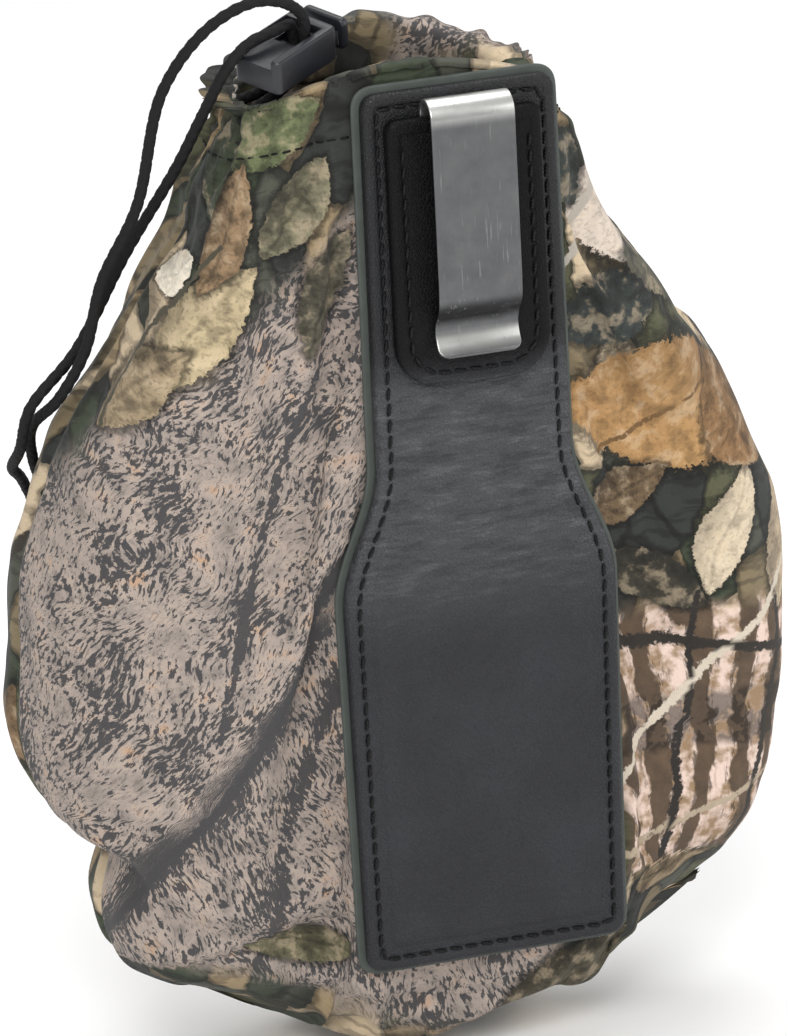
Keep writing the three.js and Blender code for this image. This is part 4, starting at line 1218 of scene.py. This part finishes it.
def clip_centreline():
    """The spring clip seen from the side as (y, z), from the inner leg over the bend to the lip."""
    leg_y, blade_y, bend_z = -5.85, -14.25, 242.3
    bend_painted_highlight = np.linspace(0, math.pi, 40)
    radius, middle = (leg_y - blade_y) / 2, (leg_y + blade_y) / 2
    over = np.stack([middle + radius * np.cos(bend_painted_highlight), bend_z + radius * np.sin(bend_painted_highlight)], 1)
    lip = [(blade_y, 204), (blade_y, 202), (blade_y + 0.7, 196.5), (blade_y + 3.2, 193),
           (blade_y + 4.4, 190), (blade_y + 3.4, 186.4), (blade_y + 1.2, 183.6)]
    lower = curve_through(lip, 0.5)
    line = np.vstack([segment((leg_y, 196), (leg_y, bend_z), 30), over,
                      segment(over[-1], (blade_y, 204), 24)[1:], lower])
    return line


def belt_clip():
    line = clip_centreline()
    tangent = np.gradient(line, axis=0)
    tangent /= np.linalg.norm(tangent, axis=1)[:, None]
    lengths = np.concatenate([[0], np.cumsum(np.linalg.norm(np.diff(line, axis=0), axis=1))])
    from_end = lengths[-1] - lengths
    half_thick, edge, corner = 0.55, 0.3, 2.6
    rings = []
    for (y, z), (ty, tz), left in zip(line, tangent, from_end):
        half = 10.5
        if left < corner:
            half = 10.5 - corner + math.sqrt(max(corner ** 2 - (corner - left) ** 2, 0.2))
        thick = half_thick * (0.72 if left < 0.01 else 1)
        section = []
        for sx, sn, first in ((1, 1, 0), (-1, 1, 90), (-1, -1, 180), (1, -1, 270)):
            for turn in np.radians(np.linspace(first, first + 90, 5)):
                section.append((sx * (half - edge) + edge * math.cos(turn),
                                sn * (thick - edge) + edge * math.sin(turn)))
        rings.append([(sx, y - tz * sn, z + ty * sn) for sx, sn in section])
    verts, faces = stack_rings(rings)
    clip = outward(make_object("belt_clip_strip", verts, faces, STEEL))
    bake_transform(clip)
    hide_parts("belt_clip")
    return clip


# ---- drawstring and cord lock -------------------------------------------------------------

CORD_RADIUS = 1.42
CASING_DROP = 7
CASING_INSET = 3.1


def cord_path():
    upper, lower, spread, hole = 4.5, -4.5, 1.85, 5
    rear_strand = [
        (-88, 74, 133), (-93, 68, 143), (-99, 54, 151), (-100.5, 40, 160), (-99, 34, 171.6),
        (-87, 34, 184), (-74, 30, 208), (-61.5, 25, 229), (-56.5, 19, 242),
        lock_point(-14.5, 5.5, 1.4), lock_point(-8, 4.4, 4.9), lock_point(-1, 3, 5.2),
        lock_point(4.2, spread, upper + 0.5), lock_point(hole, spread, upper - 2.5),
        lock_point(hole, spread, lower), (-37.5, 19.5, 248), (-42, 26, 243.5)]
    channel = []
    for i in range(1, 24):
        if i == 12:
            continue
        angle = 2 * math.pi * i / 24
        half = 1 if angle < math.pi else -1
        cosine = math.cos(angle)
        u = -math.copysign(abs(cosine) ** (2 / FLATNESS[half]), cosine)
        channel.append(pouch_point(half, np.array([u]), CASING_DROP * RIM_DROP_SCALE, CASING_INSET)[0])
    front_strand = [
        (-42.5, 19, 242.5), (-38.5, 15, 246.5), lock_point(hole, -spread, lower),
        lock_point(hole, -spread, upper - 2), lock_point(hole - 0.4, -spread, upper + 4),
        (-37.5, 10, 269.5), (-45, 10, 270.5), (-56, 12, 265), (-66.7, 16, 250.3), (-73.5, 20, 222),
        (-82, 25, 203), (-86.5, 27, 186), (-92.5, 31, 174), (-96, 44, 164), (-93, 57, 152),
        (-88, 67, 140), (-85, 73.5, 131)]
    return curve_through(rear_strand + channel + front_strand, 0.45)


def braid_radius(path, sides, radius):
    """A round braid: strands winding both ways, passing over and under each other."""
    lengths = np.arange(len(path)) * 0.45
    angle = np.linspace(0, 2 * math.pi, sides, endpoint=False)
    one = np.cos(4 * angle[None, :] + lengths[:, None] * 1.9)
    other = np.cos(4 * angle[None, :] - lengths[:, None] * 1.9)
    return radius * (0.9 + 0.13 * np.maximum(one, other))


def build_cord():
    path = cord_path()
    verts, faces = sweep(path, braid_radius(path, 16, CORD_RADIUS), 16)
    t = np.linspace(0.4, 2 * math.pi - 0.4, 160)
    size = 1.45
    knot = np.stack([size * (np.sin(t) + 2 * np.sin(2 * t)), -size * 0.9 * np.sin(3 * t),
                     size * (np.cos(t) - 2 * np.cos(2 * t))], 1) + (-85, 76, 129)
    knot = resample(knot, spacing=0.45)
    knot_verts, knot_faces = sweep(knot, braid_radius(knot, 16, CORD_RADIUS), 16)
    faces = faces + [[k + len(verts) for k in face] for face in knot_faces]
    cord = make_object("braided_drawstring", np.vstack([verts, knot_verts]), faces, CORD)
    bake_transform(cord)
    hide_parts("drawstring")


def build_lock():
    bevelled("cord_lock_body", "lock_housing", LOCK, "lock", "lock_plastic", 0.45)
    bevelled("cord_lock_button", "lock_button", LOCK, "button", "lock_plastic", 0.4)
    turns = np.linspace(0, 1, 220)
    coil = np.array([lock_point(-9 + 9 * t, 1.35 * math.cos(8 * math.pi * t),
                                -0.9 + 1.35 * math.sin(8 * math.pi * t)) for t in turns])
    verts, faces = sweep(coil, 0.24, 8)
    spring = place(make_object("lock_spring", verts, faces, BRIGHT), "lock", "spring_steel",
                   "cord_lock_spring")
    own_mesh(spring)


# ---- the call inside ----------------------------------------------------------------------

def build_call():
    turned("bell", [(15, 14), (16.5, 14), (16.5, 17), (13.6, 24), (12.2, 34), (14.4, 35), (14.4, 38),
                    (12.2, 38.4), (12.2, 52), (10.2, 52), (10.2, 34), (11.8, 23), (15, 15.5)],
           CALL_PLASTIC, "call", "call_plastic", 1.2)
    for name, low, high, body in (("bell_collar", 39.4, 51, "call"), ("tube_collar", 134.4, 145.6, "barrel")):
        turned(name, [(13.9, low), (14.9, low), (15.4, low + 0.8), (15.4, high - 0.8), (14.9, high),
                      (13.9, high)], CALL_PLASTIC, body, "call_plastic", 0.5)
    corrugated_tube()
    turned("barrel", [
        (9.3, 134), (12.2, 134), (12.2, 146.3), (14.2, 146.3), (14.6, 147.2), (14.6, 158),
        (13.9, 160), (13.9, 168.2), (12.9, 168.2), (12.9, 171), (13.9, 171), (13.9, 178),
        (14.6, 180), (14.6, 188.8), (13.8, 190), (9.3, 190)], WOOD, "barrel", "wood", 0.6)
    turned("barrel_o_ring", circle_profile(14.15, 0.95, 169.6), RUBBER, "barrel", "rubber", 0)
    turned("mouthpiece", [
        (5.9, 174), (8.9, 174), (8.9, 181.9), (7.2, 181.9), (7.2, 184.1), (8.9, 184.1),
        (8.9, 190.3), (13.2, 190.3), (13.8, 191.4), (13.2, 193), (9.8, 198), (8.4, 206),
        (8.8, 211), (9.2, 213), (8.2, 214), (6.4, 213), (4.2, 208), (4.2, 186), (5.9, 185.9)],
        CALL_PLASTIC, "mouthpiece", "call_plastic", 0.9)
    turned("mouthpiece_o_ring", circle_profile(8.25, 0.75, 183), RUBBER, "mouthpiece", "rubber", 0)
    turned("reed_band", circle_profile(6.45, 0.6, 162), RUBBER, "band", "rubber", 0)
    bevelled("tone_board", "tone_board_moulding", TONE, "mouthpiece", "tone_plastic", 0.2)
    bevelled("reed_wedge", "reed_wedge_block", RUBBER, "mouthpiece", "rubber", 0.3)
    bevelled("reed", "reed_leaf", FILM, "reed", "mylar", 0.08)


def corrugated_tube():
    """A soft corrugated tube with smooth cuffs; it stretches between the bell and the barrel."""
    low, high, ridges = 54.0, 132.0, 10
    z = np.linspace(low, high, 241)
    wave = 14.1 - 1.1 * np.cos((z - low) / (high - low) * ridges * 2 * math.pi)
    outer = np.stack([wave, z], 1)
    inner = np.stack([wave - 1.0, z], 1)[::-1]
    cuff = 13.55
    profile = np.vstack([[(12.6, 38.9), (13.3, 38.8), (cuff, 39.1), (cuff, 51.5)], outer,
                         [(cuff, 134.5), (cuff, 145.6), (13.3, 145.9), (12.6, 145.8)],
                         [(12.55, 134.5)], inner, [(12.55, 51.5)]])
    tube = turned("corrugated_tube_skin", profile, TUBE, None, None, 0)
    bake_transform(tube)
    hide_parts("corrugated_tube")


# ---- hem stitches -------------------------------------------------------------------------

def hem_stitches(moved, normal, smooth_grid):
    """The stitches that close the cord's casing, lying on the pleated cloth below the rim."""
    wall = smooth_grid[:196]
    drop = RIM_HEIGHT - wall[:, HALF_COLUMNS // 2, 2]
    row = int(np.argmin(np.abs(drop - HEM_STITCH_DROP)))
    line = moved[row]
    outwards = normal[row]
    closed_line = np.vstack([line, line[:1]])
    closed_out = np.vstack([outwards, outwards[:1]])
    both = resample(np.hstack([closed_line, closed_out * 0.001]), spacing=3.2)
    points, out = both[:, :3], both[:, 3:] / np.linalg.norm(both[:, 3:], axis=1)[:, None]
    step = np.diff(points, axis=0)
    centres = (points[1:] + points[:-1]) / 2 + 0.12 * out[:-1]
    along = step / np.linalg.norm(step, axis=1)[:, None]
    verts, faces = capsules(centres, along, out[:-1], 2.3, 0.3, 0.2)
    place(make_object("hem_stitches", verts, faces, THREAD), "pouch", "thread", "hem_thread")


# ---- stage, light and camera --------------------------------------------------------------

def stage_and_camera():
    floor_look = Graph("pale_floor")
    tint = floor_look.mix(floor_look.noise(floor_look.object_mm(), 400, 2),
                          srgb(246, 246, 246), srgb(250, 250, 250))
    floor_look.finish(tint, 0.9)
    side = 3000
    floor = make_object("floor", [(-side, -side, -2), (side, -side, -2), (side, side, -2), (-side, side, -2)],
                        [(0, 1, 2, 3)], floor_look.material, smooth=False)

    world = bpy.data.worlds.new("studio")
    bpy.context.scene.world = world
    world.use_nodes = True
    background = world.node_tree.nodes["Background"]
    background.inputs["Color"].default_value = (1, 1, 1, 1)
    background.inputs["Strength"].default_value = WORLD_STRENGTH

    target = in_frame((0, 30, 130))
    for name, place_at, energy, width in LIGHTS:
        data = bpy.data.lights.new(name, "AREA")
        data.energy = energy
        data.size = width
        light = bpy.data.objects.new(name, data)
        bpy.context.scene.collection.objects.link(light)
        light.location = in_frame(place_at)
        light.rotation_euler = (target - light.location).to_track_quat("-Z", "Y").to_euler()

    # The camera looks from 18 degrees to the panel's left and 18 above, rolled a little.
    azimuth, elevation, roll = map(math.radians, (-18, 18, 2.9))
    right = Vector((math.cos(azimuth), math.sin(azimuth), 0))
    toward = Vector((math.sin(azimuth) * math.cos(elevation), -math.cos(azimuth) * math.cos(elevation),
                     math.sin(elevation)))
    up = toward.cross(right)
    aim = in_frame((0, -5, 28)) + AIM_RIGHT * MM * right + AIM_UP * MM * up
    cam_up = up * math.cos(roll) + right * math.sin(roll)
    cam_right = right * math.cos(roll) - up * math.sin(roll)
    data = bpy.data.cameras.new("camera")
    data.sensor_fit = "VERTICAL"
    data.sensor_height = 36
    data.lens = 36 * CAMERA_DISTANCE / FRAME_HEIGHT
    camera = bpy.data.objects.new("camera", data)
    bpy.context.scene.collection.objects.link(camera)
    turn = Matrix((cam_right, cam_up, toward)).transposed().to_4x4()
    camera.matrix_world = Matrix.Translation(aim + toward * CAMERA_DISTANCE * MM) @ turn
    bpy.context.scene.camera = camera
    bpy.context.scene.view_settings.view_transform = "Standard"


CAMERA_DISTANCE = 2000
FRAME_HEIGHT = 253.5
AIM_RIGHT = -20.4
AIM_UP = 107.8
WORLD_STRENGTH = 0.62
LIGHTS = [
    # name, place in mm, power in W, width in m
    ("key", (-700, -1500, 1500), 26, 1.0),
    ("fill", (1400, -1200, 700), 10, 1.2),
    ("top", (200, 500, 1800), 14, 1.2),
]

CLOTH = camouflage()
LEATHER = leather_material("panel_leather", (30, 31, 36), 0.4)
# Painted shade: the patch leather is a darker, less shiny copy of the panel leather, for the shade it sits in
# under the clip.
PATCH_LEATHER_PAINTED_SHADE = leather_material("patch_leather_painted_shade", (13, 13, 16), 0.16)
EDGE = edge_paint()
THREAD = thread_material()
STEEL = clip_steel()
CORD = braided_cord()
LOCK = moulded("lock_plastic", (30, 31, 36), 0.38)
RUBBER = moulded("soft_rubber", (26, 26, 27), 0.62, 0.7, 0.05)
TUBE = moulded("tube_rubber", (40, 43, 39), 0.6, 0.8, 0.05)
CALL_PLASTIC = moulded("call_plastic", (30, 31, 31), 0.32)
SHEET = moulded("stiff_sheet", (36, 36, 36), 0.6, 1.0, 0.05)
TONE = moulded("tone_plastic", (216, 210, 192), 0.42)
WOOD = turned_wood()
FILM = film()
BRIGHT = bright_steel()

hem_stitches(*build_pouch())
build_panel()
belt_clip()
build_cord()
build_lock()
build_call()
for node_name, look in (("panel_stiffener", SHEET), ("clip_rivet_lower", BRIGHT), ("clip_rivet_upper", BRIGHT)):
    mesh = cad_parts[node_name].data
    mesh.materials.clear()
    mesh.materials.append(look)

stage_and_camera()
